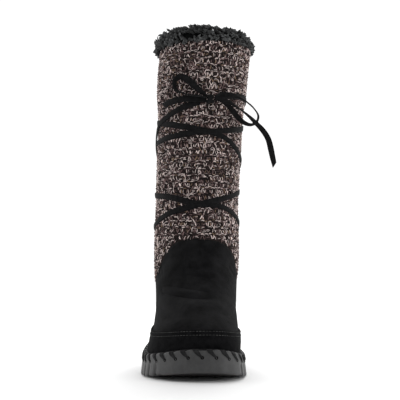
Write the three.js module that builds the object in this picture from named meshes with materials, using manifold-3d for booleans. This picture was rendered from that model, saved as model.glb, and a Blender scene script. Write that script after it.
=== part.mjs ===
// A tall mukluk boot for the right foot: a knit shaft with a fleece collar, a suede foot with a
// suede rand, a rubber cup sole whipped on with thick lacing, and a flat lace tied in a bow.
// Millimetres, +Z up, the ground at Z 0. The toe points along -Y and the inner side of the foot is +X.

import * as THREE from "three";
import { mergeVertices } from "three/addons/utils/BufferGeometryUtils.js";
import Module from "manifold-3d";

const wasm = await Module();
wasm.setup();

// Overall sizes
const soleLength = 282; // toe to heel along the sole's ground edge
const ballWidth = 106; // widest part of the ground edge, at the ball of the foot
const bootHeight = 348; // ground to the top edge of the knit
const instepHeight = 140; // where the slope of the instep has turned into the shaft
const shaftWidth = 94; // side to side, below the bow
const shaftDepth = 129; // front to back at the collar
const shaftLean = 13; // how far the collar leans to the inner side
const heelTuck = 19; // how far the back line comes in above the heel
const innerSwell = 4.2; // how far the inner side of the foot swells out over the sole

// Cup sole
const soleThickness = 21.5; // height of its side at the ball
const heelHeight = 35; // height of its side at the heel
const toeSpring = 9; // how far the toe is off the ground
const archHollow = 2.5; // how far the arch is off the ground
const heelBevel = 2; // how far the back edge of the heel is off the ground
const sideFlare = 2.6; // how far the side leans out towards the ground
const lipThickness = 3.2;
const cupDepth = 7; // lip down to the footbed
const grooveWidth = 3; // flex grooves in the side
const grooveDepth = 1.5;
const groovePitch = 11.6;
const slotDepth = 2.2; // grooves across the tread
const slotWidth = 3.2;

// Upper
const clearance = 0.3; // between pieces that lie on each other
const seamGap = 0.6; // between the suede's top edge and the knit
const liningWall = 2.4; // knit or lining under the suede
const suedeThickness = 1.6;
const randThickness = 1.6;
const randHeight = 33; // top edge of the rand above the footbed
const seamHeight = 135; // top of the suede at the front
const insoleThickness = 4;

// Fleece collar
const fleeceHeight = 11; // above the knit's edge
const fleeceLap = 6; // down over the outside of the knit
const fleeceTurn = 14; // down inside the collar
const fleeceProud = 3.8; // out from the knit
const fleecePile = 4; // inwards from the lining
const lockCount = 40;
const lockLength = 9;
const lockRadius = 3.6;

// Laces
const laceWidth = 5.6;
const laceThickness = 1.6;
const laceGap = 0.9; // lace to knit, with room for the facets of both
const crossingRise = 1; // how far the lace on top climbs where two cross
const laceStep = 12.5; // length of one facet along a lace
const knotWidth = 7;
const knotDepth = 9;
const knotHeight = 9.4;
const stitchWidth = 3.4;
const stitchThickness = 1.4;
const stitchPitch = 13;
const stitchReach = 7.5; // lip down to the hole
const stitchSlant = 6.5; // along the lip, from the top of a stitch to its hole
const lacingSlack = 0.6; // how loosely the lacing lies on the rubber
const lacingInset = 1.4; // lip's outer edge to the middle of the lace's run on top of it
const lacingRun = 1; // width of that run

// Number of facets round the boot
const around = 42;

// Rows of numbers as objects with named columns.
function table(columns, rows) {
  return rows.map((row) => Object.fromEntries(columns.map((name, i) => [name, row[i]])));
}

// The sole's ground edge. Along is the share of its length from the toe, and the rest are shares of
// the ball width: the middle line, and how far the two sides stand off it.
const outline = table(
  ["along", "centre", "inner", "outer"],
  [
    [0.0, 0.104, 0.56, 0.585],
    [0.1, 0.066, 0.56, 0.615],
    [0.2, 0.028, 0.546, 0.58],
    [0.3, 0.01, 0.524, 0.539],
    [0.4, 0.0, 0.484, 0.508],
    [0.5, 0.003, 0.431, 0.484],
    [0.6, 0.01, 0.393, 0.464],
    [0.7, 0.014, 0.393, 0.453],
    [0.8, 0.02, 0.418, 0.47],
    [0.9, 0.026, 0.445, 0.495],
    [1.0, 0.028, 0.462, 0.49],
  ],
);
const outlineBluntness = 0.75; // under 1 squares the toe and the heel off

// The boot's sections, from the footbed up. Level is 0 at the footbed, 1 at the instep and 2 at the
// collar. Reach is how far the foot runs forward of the shaft, as a share of all it does. Tuck is
// the back line's share of the heel tuck. Form is 0 for the sole's shape and 1 for the shaft's oval.
// Foot and shaft are widths, as shares of the footbed's and of the shaft's. Lean is a share of the
// shaft's lean, and bluntness is 1 for an ellipse.
const sections = table(
  ["level", "reach", "tuck", "form", "foot", "shaft", "lean", "bluntness"],
  [
    [0.0, 1.0, 0.0, 0.0, 1.0, 0.9, 0.16, 0.8],
    [0.086, 1.004, -0.03, 0.0, 0.998, 0.9, 0.16, 0.8],
    [0.171, 1.002, -0.05, 0.05, 0.95, 0.9, 0.16, 0.8],
    [0.229, 0.982, -0.053, 0.12, 0.925, 0.9, 0.16, 0.8],
    [0.286, 0.941, 0.0, 0.22, 0.91, 0.9, 0.16, 0.82],
    [0.336, 0.87, 0.068, 0.34, 0.9, 0.9, 0.16, 0.84],
    [0.379, 0.78, 0.126, 0.46, 0.9, 0.9, 0.16, 0.85],
    [0.421, 0.659, 0.184, 0.58, 0.9, 0.905, 0.17, 0.87],
    [0.479, 0.512, 0.263, 0.72, 0.9, 0.93, 0.18, 0.9],
    [0.557, 0.39, 0.368, 0.86, 0.9, 0.95, 0.2, 0.92],
    [0.657, 0.28, 0.5, 0.95, 0.9, 0.965, 0.22, 0.95],
    [0.786, 0.187, 0.668, 1.0, 0.9, 0.985, 0.23, 0.97],
    [0.893, 0.132, 0.78, 1.0, 0.9, 1.007, 0.23, 0.98],
    [1.0, 0.0935, 0.868, 1.0, 0.9, 0.997, 0.235, 1.0],
    [1.077, 0.06, 0.94, 1.0, 0.9, 0.975, 0.246, 1.0],
    [1.15, 0.048, 0.968, 1.0, 0.9, 0.96, 0.26, 1.0],
    [1.25, 0.033, 1.0, 1.0, 0.9, 0.972, 0.285, 1.0],
    [1.413, 0.016, 0.984, 1.0, 0.9, 0.99, 0.43, 1.0],
    [1.6, 0.01, 0.925, 1.0, 0.9, 0.993, 0.56, 1.0],
    [1.69, 0.008, 0.885, 1.0, 0.9, 1.02, 0.6, 1.0],
    [1.769, 0.004, 0.84, 1.0, 0.9, 1.07, 0.67, 1.0],
    [1.875, 0.002, 0.79, 1.0, 0.9, 1.075, 0.76, 1.0],
    [2.0, 0.0, 0.737, 1.0, 0.9, 1.08, 1.0, 1.0],
  ],
);

// Top edge of the suede, from the front of the shaft round to the back. Half is the share of the
// half turn, and height is a share of the seam height. On the outer side it falls away sooner.
const innerSeam = table(
  ["half", "height"],
  [
    [0.0, 1.0],
    [0.16, 0.98],
    [0.255, 0.933],
    [0.305, 0.88],
    [0.367, 0.78],
    [0.45, 0.685],
    [0.5, 0.645],
    [0.61, 0.59],
    [0.78, 0.556],
    [1.0, 0.566],
  ],
);
const outerSeam = table(
  ["half", "height"],
  [
    [0.0, 1.0],
    [0.12, 0.985],
    [0.185, 0.94],
    [0.235, 0.88],
    [0.285, 0.81],
    [0.33, 0.74],
    [0.38, 0.685],
    [0.44, 0.635],
    [0.52, 0.595],
    [0.63, 0.575],
    [0.8, 0.556],
    [1.0, 0.566],
  ],
);

// A smooth curve through one column of a table, with no overshoot.
function read(rows, column, at) {
  const key = Object.keys(rows[0])[0];
  const last = rows.length - 1;
  if (at <= rows[0][key]) return rows[0][column];
  if (at >= rows[last][key]) return rows[last][column];
  const i = rows.findIndex((row) => row[key] > at) - 1;
  const rise = (k) => (rows[k + 1][column] - rows[k][column]) / (rows[k + 1][key] - rows[k][key]);
  const slope = (k) => {
    if (k === 0) return rise(0);
    if (k === last) return rise(last - 1);
    const before = rise(k - 1);
    const after = rise(k);
    return before * after <= 0 ? 0 : (2 * before * after) / (before + after);
  };
  const span = rows[i + 1][key] - rows[i][key];
  const t = (at - rows[i][key]) / span;
  const near = rows[i][column];
  const far = rows[i + 1][column];
  const bend = t * t * (3 - 2 * t);
  return near + (far - near) * bend + span * t * (1 - t) * ((1 - t) * slope(i) - t * slope(i + 1));
}

const mix = (a, b, t) => a + (b - a) * t;
const clamp = (t) => Math.min(1, Math.max(0, t));
const smooth = (t) => clamp(t) ** 2 * (3 - 2 * clamp(t));
const degrees = (angle) => (angle * Math.PI) / 180;

// Underside of the sole at a place along it: toe spring, arch hollow and heel bevel.
const toeRocker = 0.24;
const archFrom = 0.46;
const archTo = 0.7;
const heelFrom = 0.93;
function underside(along) {
  const toe = toeSpring * clamp(1 - along / toeRocker) ** 2;
  const middle = (along - archFrom) / (archTo - archFrom);
  const arch = middle > 0 && middle < 1 ? archHollow * Math.sin(Math.PI * middle) ** 2 : 0;
  const heel = heelBevel * clamp((along - heelFrom) / (1 - heelFrom)) ** 2;
  return toe + arch + heel;
}

// Top edge of the sole's lip, and the footbed that lies the cup's depth below it.
const wedgeFrom = 0.28;
const wedgeTo = 0.86;
function lip(along) {
  const spring = toeSpring * clamp(1 - along / toeRocker) ** 2;
  const wedge = smooth((along - wedgeFrom) / (wedgeTo - wedgeFrom));
  return spring + mix(soleThickness, heelHeight, wedge);
}
const footbed = (along) => lip(along) - cupDepth;
const alongOf = (y) => clamp(y / soleLength + 0.5);

// A point of the ground edge, for a turn of phi from the toe towards the inner side.
function rawEdge(phi) {
  const along = (1 - Math.cos(phi)) / 2;
  const turn = Math.sin(phi);
  const side = turn < 0 ? "outer" : "inner";
  const swell = Math.sign(turn) * Math.abs(turn) ** outlineBluntness;
  const x = ballWidth * (read(outline, "centre", along) + read(outline, side, along) * swell);
  return new THREE.Vector2(x, soleLength * (along - 0.5));
}
const edgeSamples = Array.from({ length: around }, (_, i) => rawEdge((2 * Math.PI * i) / around).x);
const edgeMiddle = (Math.max(...edgeSamples) + Math.min(...edgeSamples)) / 2;

// The same edge, centred on X 0 and drawn in by inset.
function soleEdge(phi, inset = 0) {
  const ahead = rawEdge(phi + 1e-3);
  const tangent = ahead.sub(rawEdge(phi - 1e-3)).normalize();
  const point = rawEdge(phi);
  return new THREE.Vector2(point.x - edgeMiddle - tangent.y * inset, point.y + tangent.x * inset);
}

// The outer face of suede and knit. At the footbed it stands inside the lip and the rand.
const featherInset = sideFlare + lipThickness + randThickness + 2.5 * clearance;
const featherFront = soleEdge(0, featherInset).y;
const featherBack = soleEdge(Math.PI, featherInset).y;
const shaftBack = featherBack - heelTuck * sections[sections.length - 1].tuck;
const shaftFront = shaftBack - shaftDepth;

function levelOf(height) {
  if (height <= instepHeight) return height / instepHeight;
  return 1 + (height - instepHeight) / (bootHeight - instepHeight);
}

const heightOf = (level) => mix(instepHeight, bootHeight, level - 1);

// The foot's inner side swells out above the lip, and the swelling ends below the instep.
const swellAt = (level) => smooth((level - 0.055) / 0.14) * (1 - smooth((level - 0.32) / 0.38));

function skinPoint(height, phi) {
  const level = levelOf(height);
  const at = (column) => read(sections, column, level);
  const front = mix(shaftFront, featherFront, at("reach"));
  const back = featherBack - heelTuck * at("tuck");
  const foot = soleEdge(phi, featherInset);
  const footAlong = (foot.y - featherFront) / (featherBack - featherFront);
  const turn = Math.sin(phi);
  const oval = Math.sign(turn) * Math.abs(turn) ** at("bluntness");
  const shaftX = shaftLean * at("lean") + (shaftWidth / 2) * at("shaft") * oval;
  const shaftY = mix(front, back, (1 - Math.cos(phi)) / 2);
  const swell = innerSwell * swellAt(level) * smooth(turn);
  const x = mix(foot.x * at("foot"), shaftX, at("form")) + swell;
  const y = mix(mix(front, back, footAlong), shaftY, at("form"));
  const follow = clamp(1 - height / instepHeight) ** 1.5;
  return new THREE.Vector3(x, y, height + follow * footbed(alongOf(y)));
}

// The outer face, moved out along its own normal.
function skin(height, phi, out = 0) {
  const round = skinPoint(height, phi + 2e-3).sub(skinPoint(height, phi - 2e-3));
  const up = skinPoint(height + 0.2, phi).sub(skinPoint(height - 0.2, phi));
  const normal = round.cross(up).normalize();
  return skinPoint(height, phi).addScaledVector(normal, out);
}

// The seam's height at a turn from the front.
const seamAt = (phi) => {
  const turn = ((((phi / Math.PI + 1) % 2) + 2) % 2) - 1;
  return seamHeight * read(turn < 0 ? outerSeam : innerSeam, "height", clamp(Math.abs(turn)));
};
const facetTurn = (2 * Math.PI) / around;
const angles = Array.from({ length: around }, (_, i) => i * facetTurn);

// A point of a faceted edge, for facets whose corners a function of the turn gives.
function onFacets(phi, corner) {
  const i = Math.floor(phi / facetTurn);
  return corner(i * facetTurn).lerp(corner((i + 1) * facetTurn), phi / facetTurn - i);
}

// Meshes and solids

// A closed surface through rings of points. Each ring goes round counter-clockwise seen from above,
// and the rings go up the outside and down the inside. Looped joins the last ring to the first.
// Turned says which bands, by the ring below them, have their facets' diagonals the other way.
function ringMesh(rings, looped, turned = () => false) {
  const count = rings[0].length;
  const positions = rings.flat().flatMap((p) => [p.x, p.y, p.z]);
  const index = [];
  const bands = looped ? rings.length : rings.length - 1;
  for (let i = 0; i < bands; i++) {
    for (let j = 0; j < count; j++) {
      const a = i * count + j;
      const b = i * count + ((j + 1) % count);
      const c = ((i + 1) % rings.length) * count + j;
      const d = ((i + 1) % rings.length) * count + ((j + 1) % count);
      if (turned(i)) index.push(a, b, c, b, d, c);
      else index.push(a, b, d, a, d, c);
    }
  }
  if (!looped) {
    closeRing(index, 0, count, false);
    closeRing(index, (rings.length - 1) * count, count, true);
  }
  return geometryOf(positions, index);
}

// Fills a ring with a ladder of facets from its inner side across to its outer side.
function closeRing(index, start, count, up) {
  for (let j = 0; j < count / 2; j++) {
    const right = start + j;
    const nextRight = start + j + 1;
    const left = start + ((count - j) % count);
    const nextLeft = start + count - j - 1;
    const facets = [
      [right, nextRight, nextLeft],
      [right, nextLeft, left],
    ];
    for (const [a, b, c] of facets) {
      if (a === b || b === c || a === c) continue;
      if (up) index.push(a, b, c);
      else index.push(a, c, b);
    }
  }
}

function geometryOf(positions, index) {
  const geometry = new THREE.BufferGeometry();
  geometry.setAttribute("position", new THREE.Float32BufferAttribute(positions, 3));
  geometry.setIndex(index);
  return geometry;
}

function solidOf(geometry) {
  const bare = geometry.clone();
  bare.deleteAttribute("normal");
  bare.deleteAttribute("uv");
  const merged = mergeVertices(bare, 1e-4);
  return new wasm.Manifold(
    new wasm.Mesh({
      numProp: 3,
      vertProperties: new Float32Array(merged.attributes.position.array),
      triVerts: new Uint32Array(merged.index.array),
    }),
  );
}

function geometryFrom(solid) {
  const mesh = solid.getMesh();
  return geometryOf(Array.from(mesh.vertProperties), Array.from(mesh.triVerts));
}

const joined = (solids) => solids.reduce((all, one) => all.add(one));

// A ring of the boot's own surface, for a height that may change round the boot.
const skinRing = (height, out) => angles.map((phi) => skin(height(phi), phi, out));

// A closed wall through rings up its outside and the same heights down its inside. Its inner facets
// match the outer facets of the wall that it lies on.
function skinWall(heights, outer, inner) {
  const outside = heights.map((height) => skinRing(height, outer));
  const inside = [...heights].reverse().map((height) => skinRing(height, inner));
  return ringMesh([...outside, ...inside], true, (i) => i >= heights.length);
}

// The corners of a flat strap at each of its stations. A station has a middle and the direction in
// which the strap's flat face looks there.
function strapCorners(stations, width, thickness) {
  return stations.map(({ middle, face }, i) => {
    const before = stations[Math.max(i - 1, 0)].middle;
    const after = stations[Math.min(i + 1, stations.length - 1)].middle;
    const tangent = after.clone().sub(before).normalize();
    const side = tangent.clone().cross(face).normalize();
    const normal = side.clone().cross(tangent).normalize();
    return [
      [-1, -1],
      [1, -1],
      [1, 1],
      [-1, 1],
    ].map(([s, n]) =>
      middle.clone().addScaledVector(side, (s * width) / 2).addScaledVector(normal, (n * thickness) / 2),
    );
  });
}

// The closed strap that runs through those corners.
function strapMesh(corners) {
  const positions = corners.flat().flatMap((p) => [p.x, p.y, p.z]);
  const end = (corners.length - 1) * 4;
  const index = [0, 1, 2, 0, 2, 3, end, end + 2, end + 1, end, end + 3, end + 2];
  for (let i = 0; i < end; i += 4) {
    for (let j = 0; j < 4; j++) {
      const a = i + j;
      const b = i + ((j + 1) % 4);
      index.push(a, b + 4, b, a, a + 4, b + 4);
    }
  }
  return geometryOf(positions, index);
}

// Materials

const finish = (color, roughness, metalness = 0) =>
  new THREE.MeshStandardMaterial({ color, roughness, metalness });
const knitFinish = finish(0x5a4b48, 0.95);
const suedeFinish = finish(0x1b1b1c, 0.9);
const randFinish = finish(0x151516, 0.9);
const rubberFinish = finish(0x4a4a4b, 0.7);
const fleeceFinish = finish(0x232526, 1);
const laceFinish = finish(0x121213, 0.85);
const insoleFinish = finish(0x2a2828, 0.95);

const boot = new THREE.Group();
const bow = new THREE.Group();
function addPiece(name, geometry, material, group = boot) {
  const mesh = new THREE.Mesh(geometry, material);
  mesh.name = name;
  group.add(mesh);
}

// Cup sole: a solid wedge with a lip round a hollow for the foot. Its side is grooved up from the
// tread to let it flex, and slots across the tread leave a row of lugs.

const onLip = (point) => new THREE.Vector3(point.x, point.y, lip(alongOf(point.y)));

function cupWall(height, phi) {
  const p = skinPoint(height, phi);
  const tangent = skinPoint(height, phi + 2e-3).sub(skinPoint(height, phi - 2e-3));
  const outward = new THREE.Vector2(tangent.y, -tangent.x).normalize();
  const out = randThickness + 2.5 * clearance;
  return new THREE.Vector2(p.x + outward.x * out, p.y + outward.y * out);
}

// A point of the sole's side, a given depth below the lip and moved out from the side.
function sidePoint(phi, depth, out = 0) {
  const flat = soleEdge(phi);
  const wallHeight = lip(alongOf(flat.y)) - underside(alongOf(flat.y));
  const place = soleEdge(phi, sideFlare * (1 - depth / wallHeight) - out);
  return new THREE.Vector3(place.x, place.y, lip(alongOf(flat.y)) - depth);
}

function soleBody() {
  const ground = angles.map((phi) => {
    const p = soleEdge(phi);
    return new THREE.Vector3(p.x, p.y, underside(alongOf(p.y)));
  });
  const lipOutside = angles.map((phi) => sidePoint(phi, 0));
  const lipInside = angles.map((phi) => onLip(cupWall(cupDepth, phi)));
  const floor = angles.map((phi) => {
    const p = cupWall(0, phi);
    return new THREE.Vector3(p.x, p.y, footbed(alongOf(p.y)) - 1.5 * clearance);
  });
  return solidOf(ringMesh([ground, lipOutside, lipInside, floor], false));
}

// The turn that brings the ground edge to a place along the sole.
const turnAt = (y, side) => side * Math.acos(clamp(0.5 - y / soleLength) * 2 - 1);
const grooveFrom = -0.4 * soleLength;
const grooveTo = 0.42 * soleLength;
const grooveRows = Array.from(
  { length: Math.floor((grooveTo - grooveFrom) / groovePitch) + 1 },
  (_, i) => grooveFrom + i * groovePitch,
);

// A cutter with a diamond section that runs up the sole's side.
function grooveCutter(phi) {
  const bottomPast = 3;
  const flat = soleEdge(phi);
  const wallHeight = lip(alongOf(flat.y)) - underside(alongOf(flat.y));
  const outward = soleEdge(phi, -1).sub(flat);
  const alongSide = new THREE.Vector2(-outward.y, outward.x);
  const ends = [sidePoint(phi, wallHeight + bottomPast), sidePoint(phi, stitchReach + grooveWidth / 2)];
  const rings = ends.map((middle) =>
    [
      [grooveDepth, 0],
      [0, grooveWidth / 2],
      [-grooveDepth, 0],
      [0, -grooveWidth / 2],
    ].map(([out, side]) => {
      const x = middle.x + outward.x * out + alongSide.x * side;
      const y = middle.y + outward.y * out + alongSide.y * side;
      return new THREE.Vector3(x, y, middle.z);
    }),
  );
  return solidOf(ringMesh(rings, false));
}

function slotCutter(y) {
  const top = underside(alongOf(y)) + slotDepth;
  const bottomPast = 4;
  const box = new THREE.BoxGeometry(2 * ballWidth, slotWidth, slotDepth + bottomPast);
  box.translate(0, y, top - (slotDepth + bottomPast) / 2);
  return solidOf(box);
}

const grooves = grooveRows.flatMap((y) => [1, -1].map((side) => grooveCutter(turnAt(y, side))));
const slots = grooveRows.map(slotCutter);
const outsole = soleBody().subtract(joined([...grooves, ...slots]));
addPiece("outsole", geometryFrom(outsole), rubberFinish);

// Insole: lies on the footbed, inside the lining.

const innerFace = -(suedeThickness + clearance + liningWall);
const insoleEdge = innerFace - 2 * clearance;
const insoleRings = [0, insoleThickness].map((height) =>
  angles.map((phi) => {
    const p = skin(height, phi, insoleEdge);
    return new THREE.Vector3(p.x, p.y, footbed(alongOf(p.y)) + height);
  }),
);
addPiece("insole", ringMesh(insoleRings, false), insoleFinish);

// Upper: one tube from the footbed to the collar. Below the seam its wall steps in by the suede.
// Lining, suede and rand have their rings at the same heights, so that they nest.

const underSuede = -(suedeThickness + clearance);
const randShares = [0, 0.34, 0.67, 1];
const quarterShares = [0.22, 0.38, 0.52, 0.68, 0.84, 1];
const ankleShares = [0, 0.45];
const shaftLevels = [1.04, 1.12, 1.22, 1.4, 1.6, 1.68, 1.77, 1.88, 2];
const randHeights = randShares.map((share) => () => mix(clearance, randHeight, share));
const quarterHeights = quarterShares.map((share) => (phi) => mix(randHeight, seamAt(phi), share));
const shaftHeights = [
  ...ankleShares.map((share) => (phi) => mix(seamAt(phi), heightOf(shaftLevels[0]), share)),
  ...shaftLevels.map((level) => () => heightOf(level)),
];
const footHeights = [...randHeights, ...quarterHeights];
const inwards = [...footHeights, ...shaftHeights.filter((_, i) => i % 2 === 0 && i > 0)].reverse();
const upperRings = [
  ...footHeights.map((height) => skinRing(height, underSuede)),
  ...shaftHeights.map((height) => skinRing(height, 0)),
  ...inwards.map((height) => skinRing(height, innerFace)),
];
const ledge = footHeights.length - 1;
addPiece("upper", ringMesh(upperRings, true, (i) => i === ledge), knitFinish);

// Suede foot: covers the lining from the footbed up to the arched seam.

const suedeTop = (phi) => seamAt(phi) - seamGap;
const suedeHeights = [...footHeights.slice(0, -1), suedeTop];
addPiece("suede_foot", skinWall(suedeHeights, 0, -suedeThickness), suedeFinish);

// Rand: a second strip of suede round the foot, tucked into the cup.

const randWall = skinWall(randHeights, clearance + randThickness, clearance);
addPiece("rand", randWall, randFinish);

// Fleece: a thick roll that sits over the collar's edge, with curled locks standing out of it.

// A point beside the collar: moved out sideways, and up or down from its edge.
const collar = (phi, out, up) => {
  const level = bootHeight + Math.min(up, 0);
  const p = skin(level, phi, 0);
  const away = skin(level, phi, 1).sub(p).setZ(0).normalize();
  return new THREE.Vector3(p.x + away.x * out, p.y + away.y * out, bootHeight + up);
};
const inside = innerFace - 4 * clearance;
const outside = 2 * clearance;
const edgeGap = 3 * clearance;
const fleeceProfile = [
  [outside, -fleeceLap],
  [outside + 0.85 * fleeceProud, -fleeceLap],
  [outside + fleeceProud, 0.2 * fleeceHeight],
  [0.5 * outside, fleeceHeight],
  [0.8 * inside, fleeceHeight],
  [inside - fleecePile, 0.3 * fleeceHeight],
  [inside - fleecePile, -fleeceTurn],
  [inside, -fleeceTurn],
  [inside, edgeGap],
  [outside, edgeGap],
];
const fleeceRoll = solidOf(
  ringMesh(fleeceProfile.map(([out, up]) => angles.map((phi) => collar(phi, out, up))), true),
);

// A number from 0 to 1 that looks random and is the same every time.
const scatter = (seed) => {
  const value = Math.sin(seed * 127.1 + 11.7) * 43758.5453;
  return value - Math.floor(value);
};

// A curled lock, rooted on the roll between its top and its lower outside edge.
function fleeceLock(i) {
  const phi = (2 * Math.PI * (i + 0.5 * scatter(i))) / lockCount;
  const tilt = scatter(i + 100);
  const reach = lockLength * mix(0.75, 1.1, scatter(i + 200));
  const rootOut = mix(0.4 * inside, outside + 0.6 * fleeceProud, tilt);
  const rootUp = mix(fleeceHeight - lockRadius, -0.4 * fleeceLap, tilt ** 3);
  const lean = degrees(mix(5, 95, tilt));
  const root = collar(phi, rootOut, rootUp);
  const aim = collar(phi, rootOut + 1, rootUp).sub(root).setZ(0).normalize();
  aim.multiplyScalar(Math.sin(lean)).setZ(Math.cos(lean));
  const cone = new THREE.ConeGeometry(lockRadius, reach, 4);
  cone.translate(0, reach / 2 - 0.2 * reach, 0);
  cone.applyQuaternion(new THREE.Quaternion().setFromUnitVectors(new THREE.Vector3(0, 1, 0), aim));
  cone.translate(root.x, root.y, root.z);
  return solidOf(cone);
}
const locks = Array.from({ length: lockCount }, (_, i) => fleeceLock(i));
addPiece("fleece_trim", geometryFrom(joined([fleeceRoll, ...locks])), fleeceFinish);

// Whip lacing: one thick lace that climbs out of a hole in the sole's side, goes over the lip and
// runs on to the next hole.

// The lip's outer edge by length: its total, and the turn that a length along it comes to.
function measureLip() {
  const perFacet = 16;
  const samples = around * perFacet;
  const edge = (phi) => onFacets(phi, (corner) => sidePoint(corner, 0));
  const turns = Array.from({ length: samples + 1 }, (_, i) => (2 * Math.PI * i) / samples);
  const lengths = [0];
  for (let i = 1; i <= samples; i++) {
    lengths.push(lengths[i - 1] + edge(turns[i]).distanceTo(edge(turns[i - 1])));
  }
  const total = lengths[samples];
  const turnAfter = (length) => {
    const wrapped = ((length % total) + total) % total;
    const i = Math.max(1, lengths.findIndex((reached) => reached >= wrapped));
    const share = (wrapped - lengths[i - 1]) / (lengths[i] - lengths[i - 1]);
    return mix(turns[i - 1], turns[i], share);
  };
  return { total, turnAfter };
}
const lipLength = measureLip();
const stitchCount = Math.round(lipLength.total / stitchPitch);
const lacingRise = clearance + lacingSlack + stitchThickness / 2;

const outwardAt = (phi) => {
  const d = soleEdge(phi, -1).sub(soleEdge(phi));
  return new THREE.Vector3(d.x, d.y, 0);
};
const onSide = (phi, depth) => {
  const middle = onFacets(phi, (corner) => sidePoint(corner, depth));
  return middle.addScaledVector(outwardAt(phi), lacingRise);
};
const overLip = (phi, inset) => {
  const p = onFacets(phi, (corner) => sidePoint(corner, 0));
  return p.addScaledVector(outwardAt(phi), -inset).setZ(p.z + lacingRise);
};
const straightUp = new THREE.Vector3(0, 0, 1);

// One band round the lip, with two stations to each stitch. Between them a stitch leaves its outer
// face, bends over the lip's edge and slants down to its hole.
function whipLacing() {
  const positions = [];
  const index = [];
  const add = (corners) => {
    const first = positions.length / 3;
    positions.push(...corners.flatMap((p) => [p.x, p.y, p.z]));
    return corners.map((_, i) => first + i);
  };
  const quad = (a, b, c, d) => index.push(a, b, c, a, c, d);
  const half = stitchThickness / 2;
  const ends = Array.from({ length: stitchCount }, (_, i) =>
    [-0.5, 0.5].map((side) => {
      const phi = lipLength.turnAfter((i * lipLength.total) / stitchCount + side * stitchWidth);
      const at = (inset, up) => overLip(phi, inset).addScaledVector(straightUp, up);
      const near = lacingInset - lacingRun / 2;
      const far = lacingInset + lacingRun / 2;
      return add([at(near, -half), at(near, half), at(far, half), at(far, -half)]);
    }),
  ).flat();
  ends.forEach((near, i) => {
    const next = ends[(i + 1) % ends.length];
    const [lowOut, highOut, highIn, lowIn] = near;
    const [nextLowOut, nextHighOut, nextHighIn, nextLowIn] = next;
    quad(highOut, nextHighOut, nextHighIn, highIn);
    quad(highIn, nextHighIn, nextLowIn, lowIn);
    quad(lowIn, nextLowIn, nextLowOut, lowOut);
    if (i % 2 === 1) quad(lowOut, nextLowOut, nextHighOut, highOut);
  });
  for (let i = 0; i < stitchCount; i++) {
    const start = (i * lipLength.total) / stitchCount;
    const edge = lipLength.turnAfter(start + 0.2 * stitchSlant);
    const hole = lipLength.turnAfter(start + stitchSlant);
    const section = (phi, depth, face) => {
      const middle = onSide(phi, depth);
      const side = straightUp.clone().cross(outwardAt(phi)).multiplyScalar(stitchWidth / 2);
      const through = face.clone().normalize().multiplyScalar(half);
      return add([
        middle.clone().sub(side).sub(through),
        middle.clone().sub(side).add(through),
        middle.clone().add(side).add(through),
        middle.clone().add(side).sub(through),
      ]);
    };
    const [left, right] = [ends[2 * i], ends[2 * i + 1]];
    const sections = [
      [left[0], left[1], right[1], right[0]],
      section(edge, -0.8 * lacingRise, outwardAt(edge).add(straightUp)),
      section(hole, stitchReach, outwardAt(hole)),
    ];
    sections.slice(1).forEach(([a, b, c, d], k) => {
      const [pa, pb, pc, pd] = sections[k];
      quad(b, c, pc, pb);
      quad(pa, a, b, pb);
      quad(d, pd, pc, c);
      quad(pa, pd, d, a);
    });
    const [a, b, c, d] = sections[2];
    quad(c, b, a, d);
  }
  return geometryOf(positions, index);
}
addPiece("whip_lacing", whipLacing(), laceFinish);

// Lace: wound round the shaft from a low bar at the back, crossing twice in front and twice behind,
// up to the knot. Angle is in degrees from the front, positive to the inner side, and height is a
// share of the boot's height.

const laceWraps = [
  [721, 0.809],
  [706, 0.799],
  [690, 0.786],
  [673, 0.77],
  [657, 0.754],
  [640, 0.731],
  [628, 0.7],
  [613, 0.652],
  [585, 0.618],
  [540, 0.588],
  [490, 0.558],
  [440, 0.54],
  [397, 0.5135],
  [373, 0.498],
  [357, 0.487],
  [335, 0.4745],
  [313, 0.458],
  [284, 0.434],
  [250, 0.427],
  [180, 0.425],
  [110, 0.433],
  [76, 0.448],
  [49, 0.475],
  [28, 0.49],
  [10, 0.492],
  [-5, 0.4955],
  [-25, 0.511],
  [-47, 0.521],
  [-85, 0.531],
  [-130, 0.552],
  [-180, 0.588],
  [-225, 0.615],
  [-270, 0.636],
  [-288, 0.654],
  [-308, 0.68],
  [-328, 0.703],
  [-347, 0.715],
  [-366, 0.725],
  [-396, 0.7405],
  [-445, 0.765],
  [-495, 0.769],
  [-540, 0.763],
  [-585, 0.757],
  [-625, 0.753],
  [-662, 0.733],
  [-703, 0.717],
  [-726, 0.713],
  [-748, 0.707],
  [-769, 0.702],
  [-795, 0.698],
  [-850, 0.722],
  [-900, 0.77],
  [-945, 0.812],
  [-990, 0.838],
  [-1035, 0.834],
  [-1061, 0.82],
];
// Where the lace passes over itself, and where it is parted so that no part meets itself.
const passesOver = [
  [654, 0.752],
  [629, 0.702],
  [540, 0.588],
  [365, 0.494],
  [-707, 0.717],
  [-897, 0.768],
];
const partedAt = [180, -600];

const riseAt = (angle, height) => {
  const near = passesOver.map(([overAngle, overHeight]) => {
    const across = (angle - overAngle) / 22;
    const up = (height - overHeight) / 0.06;
    return Math.max(0, 1 - across * across - up * up);
  });
  return crossingRise * Math.max(...near);
};

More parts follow.
